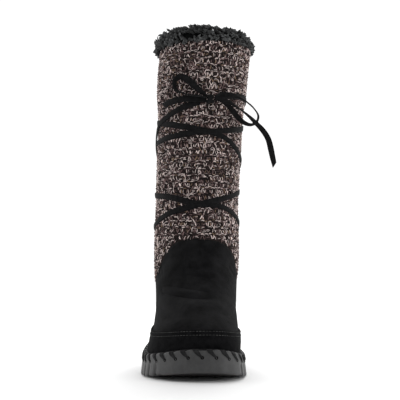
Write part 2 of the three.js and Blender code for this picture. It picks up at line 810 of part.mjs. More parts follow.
function laceStations() {
  const curve = new THREE.CatmullRomCurve3(
    laceWraps.map(([angle, height]) => new THREE.Vector3(angle / 360, height, 0)),
    false,
    "centripetal",
  );
  const samples = Array.from({ length: 2401 }, (_, i) => curve.getPoint(i / 2400));
  const on = (p, out) => skin(p.y * bootHeight, 2 * Math.PI * p.x, out);
  const lengths = [0];
  for (let i = 1; i < samples.length; i++) {
    lengths.push(lengths[i - 1] + on(samples[i], 0).distanceTo(on(samples[i - 1], 0)));
  }
  const total = lengths[lengths.length - 1];
  const count = Math.round(total / laceStep);
  return Array.from({ length: count + 1 }, (_, k) => {
    const i = Math.max(1, lengths.findIndex((reached) => reached >= (total * k) / count - 1e-6));
    const share = ((total * k) / count - lengths[i - 1]) / (lengths[i] - lengths[i - 1]);
    const at = samples[i - 1].clone().lerp(samples[i], share);
    const out = laceGap + laceThickness / 2 + riseAt(360 * at.x, at.y);
    return { angle: 360 * at.x, middle: on(at, out), face: on(at, out + 1).sub(on(at, out)) };
  });
}

const laceRun = laceStations();
const laceCorners = strapCorners(laceRun, laceWidth, laceThickness);
const cuts = [0, ...partedAt.map((angle) => laceRun.findIndex((at) => at.angle < angle)), laceRun.length - 1];
const laceParts = cuts.slice(1).map((end, i) => solidOf(strapMesh(laceCorners.slice(cuts[i], end + 1))));
addPiece("lace_wraps", geometryFrom(joined(laceParts)), laceFinish);

// Bow: a knot, two loops and two ends. Their routes are in millimetres.

const bowKnot = new THREE.Vector3(18, -17.4, 283.2);

const routes = {
  lace_loop_outer: [
    [13.8, -19, 287.2],
    [8.4, -19, 290.5],
    [1.5, -18, 297],
    [-5.5, -16, 303.6],
    [-13, -12, 308.2],
    [-18.6, -9, 306.5],
    [-21, -7.6, 301],
    [-19, -8.6, 295],
    [-13, -11.6, 291],
    [-4, -15.4, 288],
    [6, -18.8, 286.4],
    [13.8, -19, 284.8],
  ],
  lace_end_outer: [
    [14, -15, 283.4],
    [6, -14.8, 283.8],
    [-2.5, -13.6, 284.4],
    [-10.5, -10.6, 284.6],
    [-18.3, -5.6, 284],
    [-26, 2, 282.6],
    [-32.5, 11.4, 280.8],
  ],
  lace_loop_inner: [
    [22.4, -16.8, 286.6],
    [30, -16.6, 288],
    [39, -14.8, 288.2],
    [48, -11, 286.6],
    [57, -7, 281.8],
    [65, -3.6, 275],
    [69.5, -2, 267.5],
    [67.5, -2.2, 260.8],
    [61.5, -3.8, 257.6],
    [53.5, -6.6, 259.8],
    [45.5, -9.8, 267],
    [38.5, -12.6, 275],
    [31, -15, 281],
    [22.4, -16.8, 284],
  ],
  lace_end_inner: [
    [22.2, -20.8, 283.4],
    [30, -20.8, 282],
    [39, -20.2, 278.6],
    [48, -19, 273],
    [58, -17.2, 265.4],
    [66.5, -15.4, 257.4],
    [74, -13.8, 249.6],
    [79.3, -12.6, 241],
    [82, -12, 231],
    [84, -11.4, 221.5],
    [86, -11, 213.5],
  ],
};
const edgeOn = ["lace_loop_outer", "lace_loop_inner"];

const box = new THREE.BoxGeometry(knotWidth, knotDepth, knotHeight);
box.translate(bowKnot.x, bowKnot.y, bowKnot.z);
addPiece("lace_knot", box, laceFinish, bow);

// A flat lace along a route, with its corners cut off. Flat shows its face to the front.
function bowLace(points, flat) {
  const path = new THREE.CatmullRomCurve3(
    points.map(([x, y, z]) => new THREE.Vector3(x, y, z)),
    false,
    "centripetal",
  );
  const halfWide = laceWidth / 2;
  const halfThick = laceThickness / 2;
  const cut = halfThick / 2;
  const corners = [
    [halfThick, halfWide - cut],
    [halfThick - cut, halfWide],
    [cut - halfThick, halfWide],
    [-halfThick, halfWide - cut],
    [-halfThick, cut - halfWide],
    [cut - halfThick, -halfWide],
    [halfThick - cut, -halfWide],
    [halfThick, cut - halfWide],
  ].map(([thick, wide]) => (flat ? new THREE.Vector2(thick, wide) : new THREE.Vector2(wide, thick)));
  const steps = Math.round(path.getLength() / laceStep);
  return new THREE.ExtrudeGeometry(new THREE.Shape(corners), { steps, extrudePath: path });
}
for (const [name, points] of Object.entries(routes)) {
  addPiece(name, bowLace(points, !edgeOn.includes(name)), laceFinish, bow);
}

// The origin is on the ground, under the middle of the boot's box with the bow left out.
const middleOfBoot = new THREE.Box3().setFromObject(boot).getCenter(new THREE.Vector3());
const mukluk = new THREE.Group();
mukluk.add(boot, bow);
mukluk.position.set(-middleOfBoot.x, -middleOfBoot.y, 0);

export default mukluk;
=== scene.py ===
# A tall mukluk boot for the right foot, dressed round its solids: knit shaft, fleece collar, suede
# foot and rand, rubber cup sole with whip lacing, and a flat lace wound up to a bow.
# Metres, +Z up, the ground at Z 0. The toe points along -Y and the inner side of the foot is +X.

import math

import bmesh
import bpy
import numpy as np
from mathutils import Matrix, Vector
from mathutils.bvhtree import BVHTree


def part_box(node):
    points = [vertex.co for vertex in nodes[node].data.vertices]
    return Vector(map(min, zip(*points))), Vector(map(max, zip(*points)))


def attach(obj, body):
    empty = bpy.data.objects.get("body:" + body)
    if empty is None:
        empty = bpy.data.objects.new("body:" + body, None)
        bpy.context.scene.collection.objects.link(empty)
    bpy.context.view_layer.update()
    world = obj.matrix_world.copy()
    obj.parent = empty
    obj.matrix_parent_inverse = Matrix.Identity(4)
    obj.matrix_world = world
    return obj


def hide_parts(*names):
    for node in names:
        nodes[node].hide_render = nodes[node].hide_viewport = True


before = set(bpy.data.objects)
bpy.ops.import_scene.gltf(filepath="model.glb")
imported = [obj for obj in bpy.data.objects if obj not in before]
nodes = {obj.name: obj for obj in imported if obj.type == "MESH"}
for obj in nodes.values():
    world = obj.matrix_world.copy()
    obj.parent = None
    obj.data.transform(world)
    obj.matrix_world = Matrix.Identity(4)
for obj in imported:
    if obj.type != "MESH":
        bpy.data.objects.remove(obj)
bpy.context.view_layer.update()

# The studio: a white floor in a white room, lit from above and behind by two strong soft boxes, and
# by three weak ones at the front and sides. The camera looks at the toe from about a metre away.

scene = bpy.context.scene
scene.view_settings.view_transform = "Standard"

camera_place = (-0.0029, -1.041, 0.108)
camera_pitch = math.radians(3.8)
focal_pixels = 975
image_pixels = 400

camera_data = bpy.data.cameras.new("camera")
camera_data.lens = camera_data.sensor_width * focal_pixels / image_pixels
camera = bpy.data.objects.new("camera", camera_data)
camera.location = camera_place
camera.rotation_euler = (math.pi / 2 + camera_pitch, 0, 0)
scene.collection.objects.link(camera)
scene.camera = camera

# The room is bright behind the boot and dimmer in front of it, by the Y of the direction looked in.
room_behind = 1.08
room_in_front = 0.4
brightest_y = 0.5
dimmest_y = -0.9


def set_inputs(node, values):
    """Sets a material node's inputs by their names."""
    for name, value in values.items():
        node.inputs[name].default_value = value


room = bpy.data.worlds.new("room")
room.use_nodes = True
room_nodes = room.node_tree.nodes
room_way = room_nodes.new("ShaderNodeTexCoord")
room_split = room_nodes.new("ShaderNodeSeparateXYZ")
room_shade = room_nodes.new("ShaderNodeMapRange")
set_inputs(room_shade, {"From Min": dimmest_y, "From Max": brightest_y})
set_inputs(room_shade, {"To Min": room_in_front, "To Max": room_behind})
room.node_tree.links.new(room_way.outputs["Generated"], room_split.inputs["Vector"])
room.node_tree.links.new(room_split.outputs["Y"], room_shade.inputs["Value"])
room.node_tree.links.new(room_shade.outputs["Result"], room_nodes["Background"].inputs["Color"])
scene.world = room

boot_middle = Vector((0, 0, 0.15))


def soft_light(name, place, size, watts):
    """A square soft box that faces the middle of the boot."""
    data = bpy.data.lights.new(name, "AREA")
    data.size = size
    data.energy = watts
    light = bpy.data.objects.new(name, data)
    light.location = place
    aim = boot_middle - Vector(place)
    light.rotation_euler = aim.to_track_quat("-Z", "Y").to_euler()
    scene.collection.objects.link(light)


soft_light("front_light", (0.6, -1.2, 0.8), 0.5, 1.2)
soft_light("right_light", (1.2, -0.6, 0.5), 0.5, 3)
soft_light("left_light", (-1.3, 0.1, 0.8), 0.8, 2.5)
soft_light("top_light", (0.05, 1.0, 1.5), 0.6, 18)
soft_light("back_light", (0.2, 1.9, 1.0), 1.0, 8)

floor_half = 1.6
floor_finish = bpy.data.materials.new("studio_floor")
floor_finish.use_nodes = True
floor_shader = floor_finish.node_tree.nodes["Principled BSDF"]
set_inputs(floor_shader, {"Base Color": (0.93, 0.93, 0.93, 1), "Roughness": 0.9})
floor_mesh = bpy.data.meshes.new("studio_floor")
floor_corners = [(floor_half * x, floor_half * y, 0) for x, y in ((-1, -1), (1, -1), (1, 1), (-1, 1))]
floor_mesh.from_pydata(floor_corners, [], [(0, 1, 2, 3)])
floor_mesh.materials.append(floor_finish)
studio_floor = bpy.data.objects.new("studio_floor", floor_mesh)
scene.collection.objects.link(studio_floor)

# The bow: the two ends of the flat suede lace, drawn through a small knot into a loop on each side,
# with a short end to the outer side and a long one that hangs past the inner side. The lace twists
# as it leaves the knot, and its long end is cut at a slant.

lace_width = 0.0056
lace_thickness = 0.0016
lace_step = 0.0015
curve_points = 30  # points worked out between two rows of a route, before even steps are taken

sole_low, sole_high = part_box("outsole")
sole_middle = Vector(((sole_low.x + sole_high.x) / 2, (sole_low.y + sole_high.y) / 2, 0))

# Metres from the middle of the sole, then the turn in degrees (0 flat to the front, 90 edge on) and
# the width as a share of the lace's.
bow_routes = {
    "lace_loop_outer": [
        (0.0138, -0.019, 0.2872, 80, 0.85), (0.0084, -0.019, 0.2905, 35, 1.0),
        (0.0015, -0.018, 0.297, 10, 1.25), (-0.0055, -0.016, 0.3036, 5, 1.35),
        (-0.013, -0.012, 0.3082, 20, 1.2), (-0.0186, -0.009, 0.3065, 42, 1.1),
        (-0.021, -0.0076, 0.301, 48, 1.1), (-0.019, -0.0086, 0.295, 46, 1.0),
        (-0.013, -0.0116, 0.291, 70, 1.0), (-0.004, -0.0154, 0.288, 85, 1.0),
        (0.006, -0.0188, 0.2864, 90, 0.9), (0.0138, -0.019, 0.2848, 90, 0.85),
    ],
    "lace_end_outer": [
        (0.014, -0.015, 0.2834, 10, 0.9), (0.006, -0.0148, 0.2838, 0, 1.15),
        (-0.0025, -0.0136, 0.2844, 0, 1.25), (-0.0105, -0.0106, 0.2846, 0, 1.25),
        (-0.0183, -0.0056, 0.284, 0, 1.2), (-0.026, 0.002, 0.2826, 0, 1.2),
        (-0.0325, 0.0114, 0.2808, 0, 1.15),
    ],
    "lace_loop_inner": [
        (0.0224, -0.0168, 0.2866, 80, 0.9), (0.03, -0.0166, 0.288, 20, 1.0),
        (0.039, -0.0148, 0.2882, 10, 1.0), (0.048, -0.011, 0.2866, 50, 0.95),
        (0.057, -0.007, 0.2818, 82, 0.9), (0.065, -0.0036, 0.275, 84, 0.9),
        (0.0695, -0.002, 0.2675, 70, 0.95), (0.0675, -0.0022, 0.2608, 72, 1.0),
        (0.0615, -0.0038, 0.2576, 70, 1.0), (0.0535, -0.0066, 0.2598, 45, 1.0),
        (0.0455, -0.0098, 0.267, 20, 1.05), (0.0385, -0.0126, 0.275, 25, 1.0),
        (0.031, -0.015, 0.281, 60, 0.95), (0.0224, -0.0168, 0.284, 85, 0.85),
    ],
    "lace_end_inner": [
        (0.0222, -0.0208, 0.2834, 30, 0.9), (0.03, -0.0208, 0.282, 5, 1.0),
        (0.039, -0.0202, 0.2786, 35, 0.85), (0.048, -0.019, 0.273, 72, 0.7),
        (0.058, -0.0172, 0.2654, 50, 0.8), (0.0665, -0.0154, 0.2574, 20, 0.95),
        (0.074, -0.0138, 0.2496, 5, 1.05), (0.0793, -0.0126, 0.241, 0, 1.1),
        (0.082, -0.012, 0.231, 0, 1.15), (0.084, -0.0114, 0.2215, 10, 1.1),
        (0.086, -0.011, 0.2135, 15, 1.0),
    ],
}
loops = ("lace_loop_outer", "lace_loop_inner")


def finish_for(name, dark, light, patch, grain, depth, roughness, shine=0.1, sheen=0.0):
    """A procedural material: patches from dark to light, and a raised grain. Sizes are in metres."""
    material = bpy.data.materials.new(name)
    material.use_nodes = True
    tree = material.node_tree
    shader = tree.nodes["Principled BSDF"]
    set_inputs(shader, {"Roughness": roughness, "Specular IOR Level": shine})
    set_inputs(shader, {"Sheen Weight": sheen, "Sheen Roughness": 0.5})
    place = tree.nodes.new("ShaderNodeTexCoord")
    patches = tree.nodes.new("ShaderNodeTexNoise")
    set_inputs(patches, {"Scale": 1 / patch, "Detail": 5, "Roughness": 0.65})
    tree.links.new(place.outputs["Object"], patches.inputs["Vector"])
    tint = tree.nodes.new("ShaderNodeValToRGB")
    tint.color_ramp.elements[0].position = 0.3
    tint.color_ramp.elements[0].color = (*dark, 1)
    tint.color_ramp.elements[1].position = 0.72
    tint.color_ramp.elements[1].color = (*light, 1)
    tree.links.new(patches.outputs["Fac"], tint.inputs["Fac"])
    tree.links.new(tint.outputs["Color"], shader.inputs["Base Color"])
    grains = tree.nodes.new("ShaderNodeTexNoise")
    set_inputs(grains, {"Scale": 1 / grain, "Detail": 3})
    tree.links.new(place.outputs["Object"], grains.inputs["Vector"])
    bump = tree.nodes.new("ShaderNodeBump")
    set_inputs(bump, {"Distance": depth, "Strength": 0.7})
    tree.links.new(grains.outputs["Fac"], bump.inputs["Height"])
    tree.links.new(bump.outputs["Normal"], shader.inputs["Normal"])
    return material


def new_piece(name, vertices, faces, material, replaced=()):
    """A smooth-shaded mesh that rides on the boot."""
    mesh = bpy.data.meshes.new(name)
    corners = np.asarray(vertices, float).reshape(-1, 3).tolist()
    mesh.from_pydata(corners, [], faces.tolist() if isinstance(faces, np.ndarray) else faces)
    mesh.materials.append(material)
    mesh.shade_smooth()
    piece = bpy.data.objects.new(name, mesh)
    scene.collection.objects.link(piece)
    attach(piece, "root")
    if replaced:
        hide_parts(*replaced)
    return piece


def unit(vectors):
    """The same directions with a length of one."""
    return vectors / np.maximum(np.linalg.norm(vectors, axis=-1, keepdims=True), 1e-12)


def lengths_along(points):
    """The length along a line of points, at each of them."""
    return np.concatenate([[0], np.cumsum(np.linalg.norm(np.diff(points, axis=0), axis=1))])


def rows_at(places, lengths, rows):
    """The rows of a table at other lengths than its own."""
    return np.stack([np.interp(places, lengths, column) for column in rows.T], axis=-1)


def round_angles(count):
    """Even angles round one full turn."""
    return np.linspace(0, 2 * np.pi, count, endpoint=False)


def smooth_route(rows, step):
    """Even steps along the centripetal Catmull-Rom curve through rows of x, y, z and other columns."""
    rows = np.array(rows, float)
    padded = np.vstack([2 * rows[0] - rows[1], rows, 2 * rows[-1] - rows[-2]])
    padded[0, 3:] = rows[0, 3:]
    padded[-1, 3:] = rows[-1, 3:]
    fine = []
    for p0, p1, p2, p3 in zip(padded, padded[1:], padded[2:], padded[3:]):
        gaps = [max(np.linalg.norm((b - a)[:3]), 1e-9) ** 0.5 for a, b in ((p0, p1), (p1, p2), (p2, p3))]
        t1 = gaps[0]
        t2 = t1 + gaps[1]
        t3 = t2 + gaps[2]
        t = np.linspace(t1, t2, curve_points, endpoint=False)[:, None]
        a1 = (t1 - t) / t1 * p0 + t / t1 * p1
        a2 = (t2 - t) / (t2 - t1) * p1 + (t - t1) / (t2 - t1) * p2
        a3 = (t3 - t) / (t3 - t2) * p2 + (t - t2) / (t3 - t2) * p3
        b1 = (t2 - t) / t2 * a1 + t / t2 * a2
        b2 = (t3 - t) / (t3 - t1) * a2 + (t - t1) / (t3 - t1) * a3
        fine.append((t2 - t) / (t2 - t1) * b1 + (t - t1) / (t2 - t1) * b2)
    fine = np.vstack(fine + [padded[-2:-1]])
    lengths = lengths_along(fine[:, :3])
    return rows_at(np.linspace(0, lengths[-1], max(2, round(lengths[-1] / step)) + 1), lengths, fine)


def ring_faces(rings, around, closed=False, capped=True):
    """Quads between rings of points, with flat caps."""
    i, j = np.meshgrid(np.arange(rings if closed else rings - 1), np.arange(around), indexing="ij")
    after = (i + 1) % rings
    beside = (j + 1) % around
    quads = np.stack([i * around + j, i * around + beside, after * around + beside, after * around + j], -1)
    faces = quads.reshape(-1, 4).tolist()
    if capped and not closed:
        faces.append(list(range(around))[::-1])
        faces.append([(rings - 1) * around + k for k in range(around)])
    return faces


def repeated(faces, count, stride):
    """Faces for alike meshes in one, each with that many points, from the quads of the first."""
    return (np.array(faces)[None] + (np.arange(count) * stride)[:, None, None]).reshape(-1, 4)


# The lace's section: flat, with round edges.
band_sides = 12
band_turn = round_angles(band_sides)
band_across = np.sign(np.cos(band_turn)) * np.abs(np.cos(band_turn)) ** 0.5
band_through = np.sign(np.sin(band_turn)) * np.abs(np.sin(band_turn)) ** 0.8


def band_rings(middles, across, through, widths, thickness):
    """Rings of a flat lace, from the ways that its width and its thickness lie."""
    half_widths = (widths * np.ones(len(middles)))[:, None, None] / 2
    return (
        middles[:, None]
        + across[:, None] * half_widths * band_across[None, :, None]
        + through[:, None] * (thickness / 2) * band_through[None, :, None]
    )


def band_along(middles, across, widths, thickness):
    """Rings of a flat lace along a line, square to it. Across is roughly the way that its width lies."""
    along = unit(np.gradient(middles, axis=0))
    through = unit(np.cross(along, across))
    return band_rings(middles, unit(np.cross(through, along)), through, widths, thickness)


lace_finish = finish_for(
    "black_suede_lace", dark=(0.0016, 0.0016, 0.0018), light=(0.0115, 0.0115, 0.012),
    patch=0.003, grain=0.0006, depth=0.0003, roughness=0.9, shine=0.08, sheen=0.03,
)
towards_front = np.array([0.0, -1.0, 0.0])
cut_reach = 0.005
cut_slant = 0.9

for name, rows in bow_routes.items():
    route = smooth_route(rows, lace_step)
    middles = route[:, :3] + np.array(sole_middle)
    along = unit(np.gradient(middles, axis=0))
    flat = unit(np.cross(along, towards_front))
    edge = unit(towards_front - along * (along @ towards_front)[:, None])
    turn = np.radians(route[:, 3])[:, None]
    across = np.cos(turn) * flat + np.sin(turn) * edge
    rings = band_along(middles, across, lace_width * route[:, 4], lace_thickness)
    if name not in loops:
        to_end = np.linalg.norm(middles - middles[-1], axis=1)
        near_end = np.clip(1 - to_end / cut_reach, 0, 1)[:, None, None]
        sideways = (band_across * lace_width / 2)[None, :, None]
        rings = rings + along[:, None] * sideways * cut_slant * near_end
    faces = ring_faces(len(rings), band_sides)
    new_piece(name + "_suede", rings, faces, lace_finish, [name])

# The knot: two turns of the lace drawn tight round the four strands, one across the other, over a
# core where the strands lie pressed together.
knot_steps = 40
knot_pinch = 0.25
knot_low, knot_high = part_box("lace_knot")
knot_middle = np.array((knot_low + knot_high) / 2)
knot_half = np.array((knot_high - knot_low) / 2)


def knot_turn(lean, spread, wide, share):
    """A tight oval turn of lace round the knot, leaning to one side. Share is of the knot's size."""
    angles = round_angles(knot_steps)
    middles = np.stack(
        [
            lean * np.sin(angles) * knot_half[0] * 0.5,
            np.cos(angles) * (knot_half[1] * share - lace_thickness / 2),
            np.sin(angles) * (knot_half[2] * share - lace_thickness / 2),
        ],
        axis=1,
    )
    middles[:, 0] += spread * knot_half[0]
    along = unit(np.roll(middles, -1, axis=0) - np.roll(middles, 1, axis=0))
    outward = unit(middles * np.array([0, 1, 1]))
    across = unit(np.cross(along, outward))
    through = unit(np.cross(along, across))
    widths = wide * (1 - knot_pinch * np.cos(2 * angles))
    return knot_middle + band_rings(middles, across, through, widths, lace_thickness)


knot_turns = [
    knot_turn(0.35, -0.2, 0.0056, 1.0),
    knot_turn(-0.5, 0.15, 0.0046, 0.9),
    knot_turn(0.0, -0.1, 0.0072, 0.66),
]
turn_faces = ring_faces(knot_steps, band_sides, closed=True)
knot_faces = repeated(turn_faces, len(knot_turns), knot_steps * band_sides)
knot = new_piece("lace_knot_suede", knot_turns, knot_faces, lace_finish, ["lace_knot"])

# The outsole: a moulded rubber cup sole, its side leaning out to the ground, with flex grooves up
# the side, slots across the tread, and a round lip that the whip lacing pulls into shallow scallops.

side_flare = 0.0026
lip_thickness = 0.0032
cup_depth = 0.007
groove_pitch = 0.0116
groove_width = 0.003
groove_depth = 0.0014
groove_top = 0.0095
slot_depth = 0.0022
first_groove = -0.4
last_groove = 0.42
stitch_pitch = 0.013
scallop_depth = 0.0011
toe_lift = 0.002
toe_worn = 0.25
lip_between = (0.015, 0.05)
side_start = 0.2  # rays along X start this far from the middle, clear of the boot


def tree_of(piece):
    """A tree of the piece's faces, for casting rays at them."""
    mesh = piece.data
    points = [v.co for v in mesh.vertices]
    return BVHTree.FromPolygons(points, [tuple(p.vertices) for p in mesh.polygons])


outsole_tree = tree_of(nodes["outsole"])
sole_half = (sole_high.y - sole_low.y) / 2
sole_turns = np.radians(np.arange(0, 181, 1.0))


def side_hit(tree, y, z, side):
    """Where a ray along X from outside meets the piece, or None."""
    hit = tree.ray_cast(Vector((sole_middle.x + side_start * side, y, z)), Vector((-side, 0, 0)))[0]
    return None if hit is None or (hit.x - sole_middle.x) * side < -0.002 else hit.x


def lip_height(y):
    """Height of the lip's top edge at a place along the sole."""
    low, high = lip_between
    for _ in range(14):
        middle = (low + high) / 2
        if side_hit(outsole_tree, y, middle, 1) is None:
            high = middle
        else:
            low = middle
    return low


def softened(values, width):
    """The values round a closed line, evened out over that many places."""
    reach = int(3 * width)
    weights = np.exp(-0.5 * (np.arange(-reach, reach + 1) / width) ** 2)
    wrapped = np.concatenate([values[-reach:], values, values[:reach]])
    return np.convolve(wrapped, weights / weights.sum(), mode="valid")


lip_run = sole_half - side_flare
ray_run = lip_run - 2e-4  # just inside the lip's ends, where a ray still meets it
turn_ys = sole_middle.y - ray_run * np.cos(sole_turns)
turn_lips = np.array([lip_height(y) for y in turn_ys])
turn_xs = {}
for side in (1, -1):
    found = [side_hit(outsole_tree, y, z - 0.001, side) for y, z in zip(turn_ys, turn_lips)]
    turn_xs[side] = np.array([sole_middle.x if x is None else x for x in found])
round_xs = softened(np.concatenate([turn_xs[1], turn_xs[-1][-2:0:-1]]), 4)
turn_count = len(turn_ys)
turn_xs = {1: round_xs[:turn_count], -1: np.concatenate([round_xs[:1], round_xs[: turn_count - 2 : -1]])}
lips = softened(np.concatenate([turn_lips, turn_lips[-2:0:-1]]), 3)[:turn_count]


def tread_height(y):
    """Height of the tread's lugs over the ground at a place along the sole."""
    heights = []
    for ahead in (-groove_pitch / 2, 0, groove_pitch / 2):
        at = max(sole_low.y + 0.004, min(sole_high.y - 0.004, y + ahead))
        heights.append(outsole_tree.ray_cast(Vector((sole_middle.x, at, -0.05)), Vector((0, 0, 1)))[0].z)
    return min(heights)


groove_count = int((last_groove - first_groove) * 2 * sole_half / groove_pitch) + 1
groove_ys = sole_middle.y + first_groove * 2 * sole_half + groove_pitch * np.arange(groove_count)
base_ys = sole_middle.y - ray_run * np.cos(np.radians(np.linspace(0, 180, 91)))
beside_groove = np.array([-1.3, -0.8, -0.5, -0.25, 0, 0.25, 0.5, 0.8, 1.3]) * groove_width / 1.3
clear_ys = base_ys[np.abs(base_ys[:, None] - groove_ys).min(1) > groove_width * 1.2]
station_ys = np.sort(np.concatenate([clear_ys, (groove_ys[:, None] + beside_groove).ravel()]))
station_turns = np.arccos(np.clip((sole_middle.y - station_ys) / lip_run, -1, 1))


def lip_line(side):
    """X, Y and height of the lip's outer edge on one side, at the stations."""
    x = np.interp(station_turns, sole_turns, turn_xs[side])
    return np.stack([x, station_ys, np.interp(station_turns, sole_turns, lips)], axis=1)


right_line = lip_line(1)
left_line = lip_line(-1)
lip_round = np.concatenate([right_line, left_line[::-1]])
columns = len(lip_round)
stations = len(station_ys)
lip_along = np.roll(lip_round, -1, axis=0) - np.roll(lip_round, 1, axis=0)
lip_outward = unit(np.stack([lip_along[:, 1], -lip_along[:, 0], 0 * lip_along[:, 0]], axis=1))
lip_outward = unit(np.stack([softened(lip_outward[:, k], 1) for k in range(3)], axis=1))
lip_lengths = lengths_along(lip_round[:, :2])
lip_total = lip_lengths[-1] + np.linalg.norm(lip_round[0, :2] - lip_round[-1, :2])
stitch_count = round(lip_total / stitch_pitch)
stitch_spacing = lip_total / stitch_count

under = np.array([tread_height(y) for y in station_ys])
toe_share = np.clip(1 - (station_ys - sole_low.y) / (toe_worn * (sole_high.y - sole_low.y)), 0, 1)
nearest_groove = np.abs(station_ys[:, None] - groove_ys).min(1)
slot_shape = np.clip(1.35 - nearest_groove / (groove_width * 0.55), 0, 1)
under = under + toe_lift * toe_share + slot_depth * slot_shape
under_round = np.concatenate([under, under[::-1]])
groove_shape = np.concatenate([slot_shape, slot_shape[::-1]])

past_stitch = (lip_lengths[:columns] % stitch_spacing) / stitch_spacing
scallop = scallop_depth * (0.5 - 0.5 * np.cos(2 * np.pi * (past_stitch + 0.35)))

# Each row of the side: its height as a share of the side's, and how far inside the lean it stands.
side_rows = [(0.0, 0.0035), (0.0, 0.001), (0.012, 0.0003), (0.045, 0.0)]
side_rows += [(share, 0.0) for share in (0.15, 0.3, 0.45, 0.56, 0.62, 0.7, 0.8, 0.88)]
side_rows += [(0.94, 0.0001), (0.975, 0.0004), (0.995, 0.001)]
sole_rings = []
for share, inset in side_rows:
    height = lip_round[:, 2] - scallop
    z = under_round + (height - under_round) * share
    lean = side_flare * (1 - share) - inset
    deep = groove_depth * groove_shape * np.clip((lip_round[:, 2] - groove_top - z) / 0.002, 0, 1)
    spot = lip_round + lip_outward * (lean - deep)[:, None]
    sole_rings.append(np.stack([spot[:, 0], spot[:, 1], z], axis=1))
for inset, drop in ((0.0018, 0.0), (0.0026, 0.0002), (lip_thickness, 0.001), (lip_thickness, cup_depth)):
    spot = lip_round - lip_outward * inset
    z = lip_round[:, 2] - scallop * (drop < 0.002) - drop
    sole_rings.append(np.stack([spot[:, 0], spot[:, 1], z], axis=1))
sole_points = np.concatenate(sole_rings)
sole_faces = ring_faces(len(sole_rings), columns, capped=False)


def ladder(first, up):
    """Faces across the sole, from its inner side to its outer side at the same stations."""
    rungs = []
    for k in range(stations - 1):
        face = [first + k, first + k + 1, first + columns - 2 - k, first + columns - 1 - k]
        rungs.append(face if up else face[::-1])
    return rungs


sole_faces += ladder(0, False) + ladder((len(sole_rings) - 1) * columns, True)

rubber_finish = finish_for(
    "grey_rubber", dark=(0.031, 0.031, 0.0315), light=(0.05, 0.05, 0.0505),
    patch=0.006, grain=0.0006, depth=0.0001, roughness=0.5, shine=0.4,
)
sharp_edge = math.radians(50)
outsole = new_piece("outsole_rubber", sole_points, sole_faces, rubber_finish, ["outsole"])
outsole.data.set_sharp_from_angle(angle=sharp_edge)

# The insole: a loose board of thick felt, cut to the inside of the cup and laid in it. It is seen
# only down the shaft, so its solid is kept and gets the felt's colour and grain.

felt_finish = finish_for(
    "charcoal_felt", dark=(0.012, 0.012, 0.012), light=(0.035, 0.034, 0.033),
    patch=0.003, grain=0.001, depth=0.0005, roughness=1.0,
)
insole_mesh = nodes["insole"].data
insole_mesh.materials.clear()
insole_mesh.materials.append(felt_finish)

# The upper: a tube of knit, lined with short fleece, that runs from the footbed to the collar.
# What shows between the yarns is its dark ground.

ray_start = 0.3  # rays at the shaft and the foot start this far out, clear of the boot


def rounded_copy(node, name, material, levels):
    """A copy of a solid with its facets rounded by subdivision and its sharp edges kept."""
    mesh = nodes[node].data.copy()
    work = bmesh.new()
    work.from_mesh(mesh)
    bmesh.ops.remove_doubles(work, verts=work.verts, dist=3e-6)
    bmesh.ops.join_triangles(
        work, faces=work.faces, angle_face_threshold=0.5, angle_shape_threshold=3.1, cmp_seam=False
    )
    crease = work.edges.layers.float.get("crease_edge") or work.edges.layers.float.new("crease_edge")
    for line in work.edges:
        if line.is_manifold and line.calc_face_angle() > sharp_edge:
            line[crease] = 1.0
    work.to_mesh(mesh)
    work.free()
    copy = bpy.data.objects.new(name, mesh)
    scene.collection.objects.link(copy)
    rounder = copy.modifiers.new("rounder", "SUBSURF")
    rounder.levels = levels
    rounder.render_levels = levels
    bpy.context.view_layer.update()
    rounded = bpy.data.meshes.new_from_object(copy.evaluated_get(bpy.context.evaluated_depsgraph_get()))
    copy.modifiers.clear()
    copy.data = rounded
    rounded.name = name
    rounded.materials.clear()
    rounded.materials.append(material)
    rounded.shade_smooth()
    rounded.set_sharp_from_angle(angle=sharp_edge)
    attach(copy, "root")
    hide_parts(node)
    return copy


ground_finish = finish_for(
    "dark_knit_ground", dark=(0.008, 0.006, 0.006), light=(0.03, 0.022, 0.021),
    patch=0.003, grain=0.0012, depth=0.0008, roughness=1.0,
)
lining_finish = finish_for(
    "charcoal_fleece_lining", dark=(0.01, 0.011, 0.011), light=(0.04, 0.042, 0.042),
    patch=0.005, grain=0.002, depth=0.0015, roughness=1.0,
)
knit_ground = rounded_copy("upper", "knit_ground", ground_finish, 2)
knit_ground.data.materials.append(lining_finish)
upper_tree = tree_of(knit_ground)
# A face that looks at another wall of the tube is inside it, and is lining.
for face in knit_ground.data.polygons:
    start = face.center + face.normal * 0.002
    if upper_tree.ray_cast(start, face.normal)[0] is not None:
        face.material_index = 1

collar_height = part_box("upper")[1].z
axis_rough = (0.0, 0.054)


def axis_at(z):
    """Middle of the shaft's section at a height."""
    x, y = axis_rough
    for _ in range(2):
        right = upper_tree.ray_cast(Vector((x + side_start, y, z)), Vector((-1, 0, 0)))[0].x
        left = upper_tree.ray_cast(Vector((x - side_start, y, z)), Vector((1, 0, 0)))[0].x
        x = (left + right) / 2
        back = upper_tree.ray_cast(Vector((x, y + ray_start, z)), Vector((0, -1, 0)))[0].y
        front = upper_tree.ray_cast(Vector((x, y - ray_start, z)), Vector((0, 1, 0)))[0].y
        y = (front + back) / 2
    return x, y


axis_heights = np.linspace(0.15, collar_height - 0.002, 24)
axis_points = np.array([axis_at(z) for z in axis_heights])


def on_shaft(turn, z, out=0.0):
    """A point over the knit's ground, by the turn from the front to the inner side, and its outward way."""
    x = np.interp(z, axis_heights, axis_points[:, 0])
    y = np.interp(z, axis_heights, axis_points[:, 1])
    away = Vector((math.sin(turn), -math.cos(turn), 0))
    hit, normal = upper_tree.ray_cast(Vector((x, y, z)) + away * ray_start, -away)[:2]
    return np.array(hit + normal * out), np.array(normal)


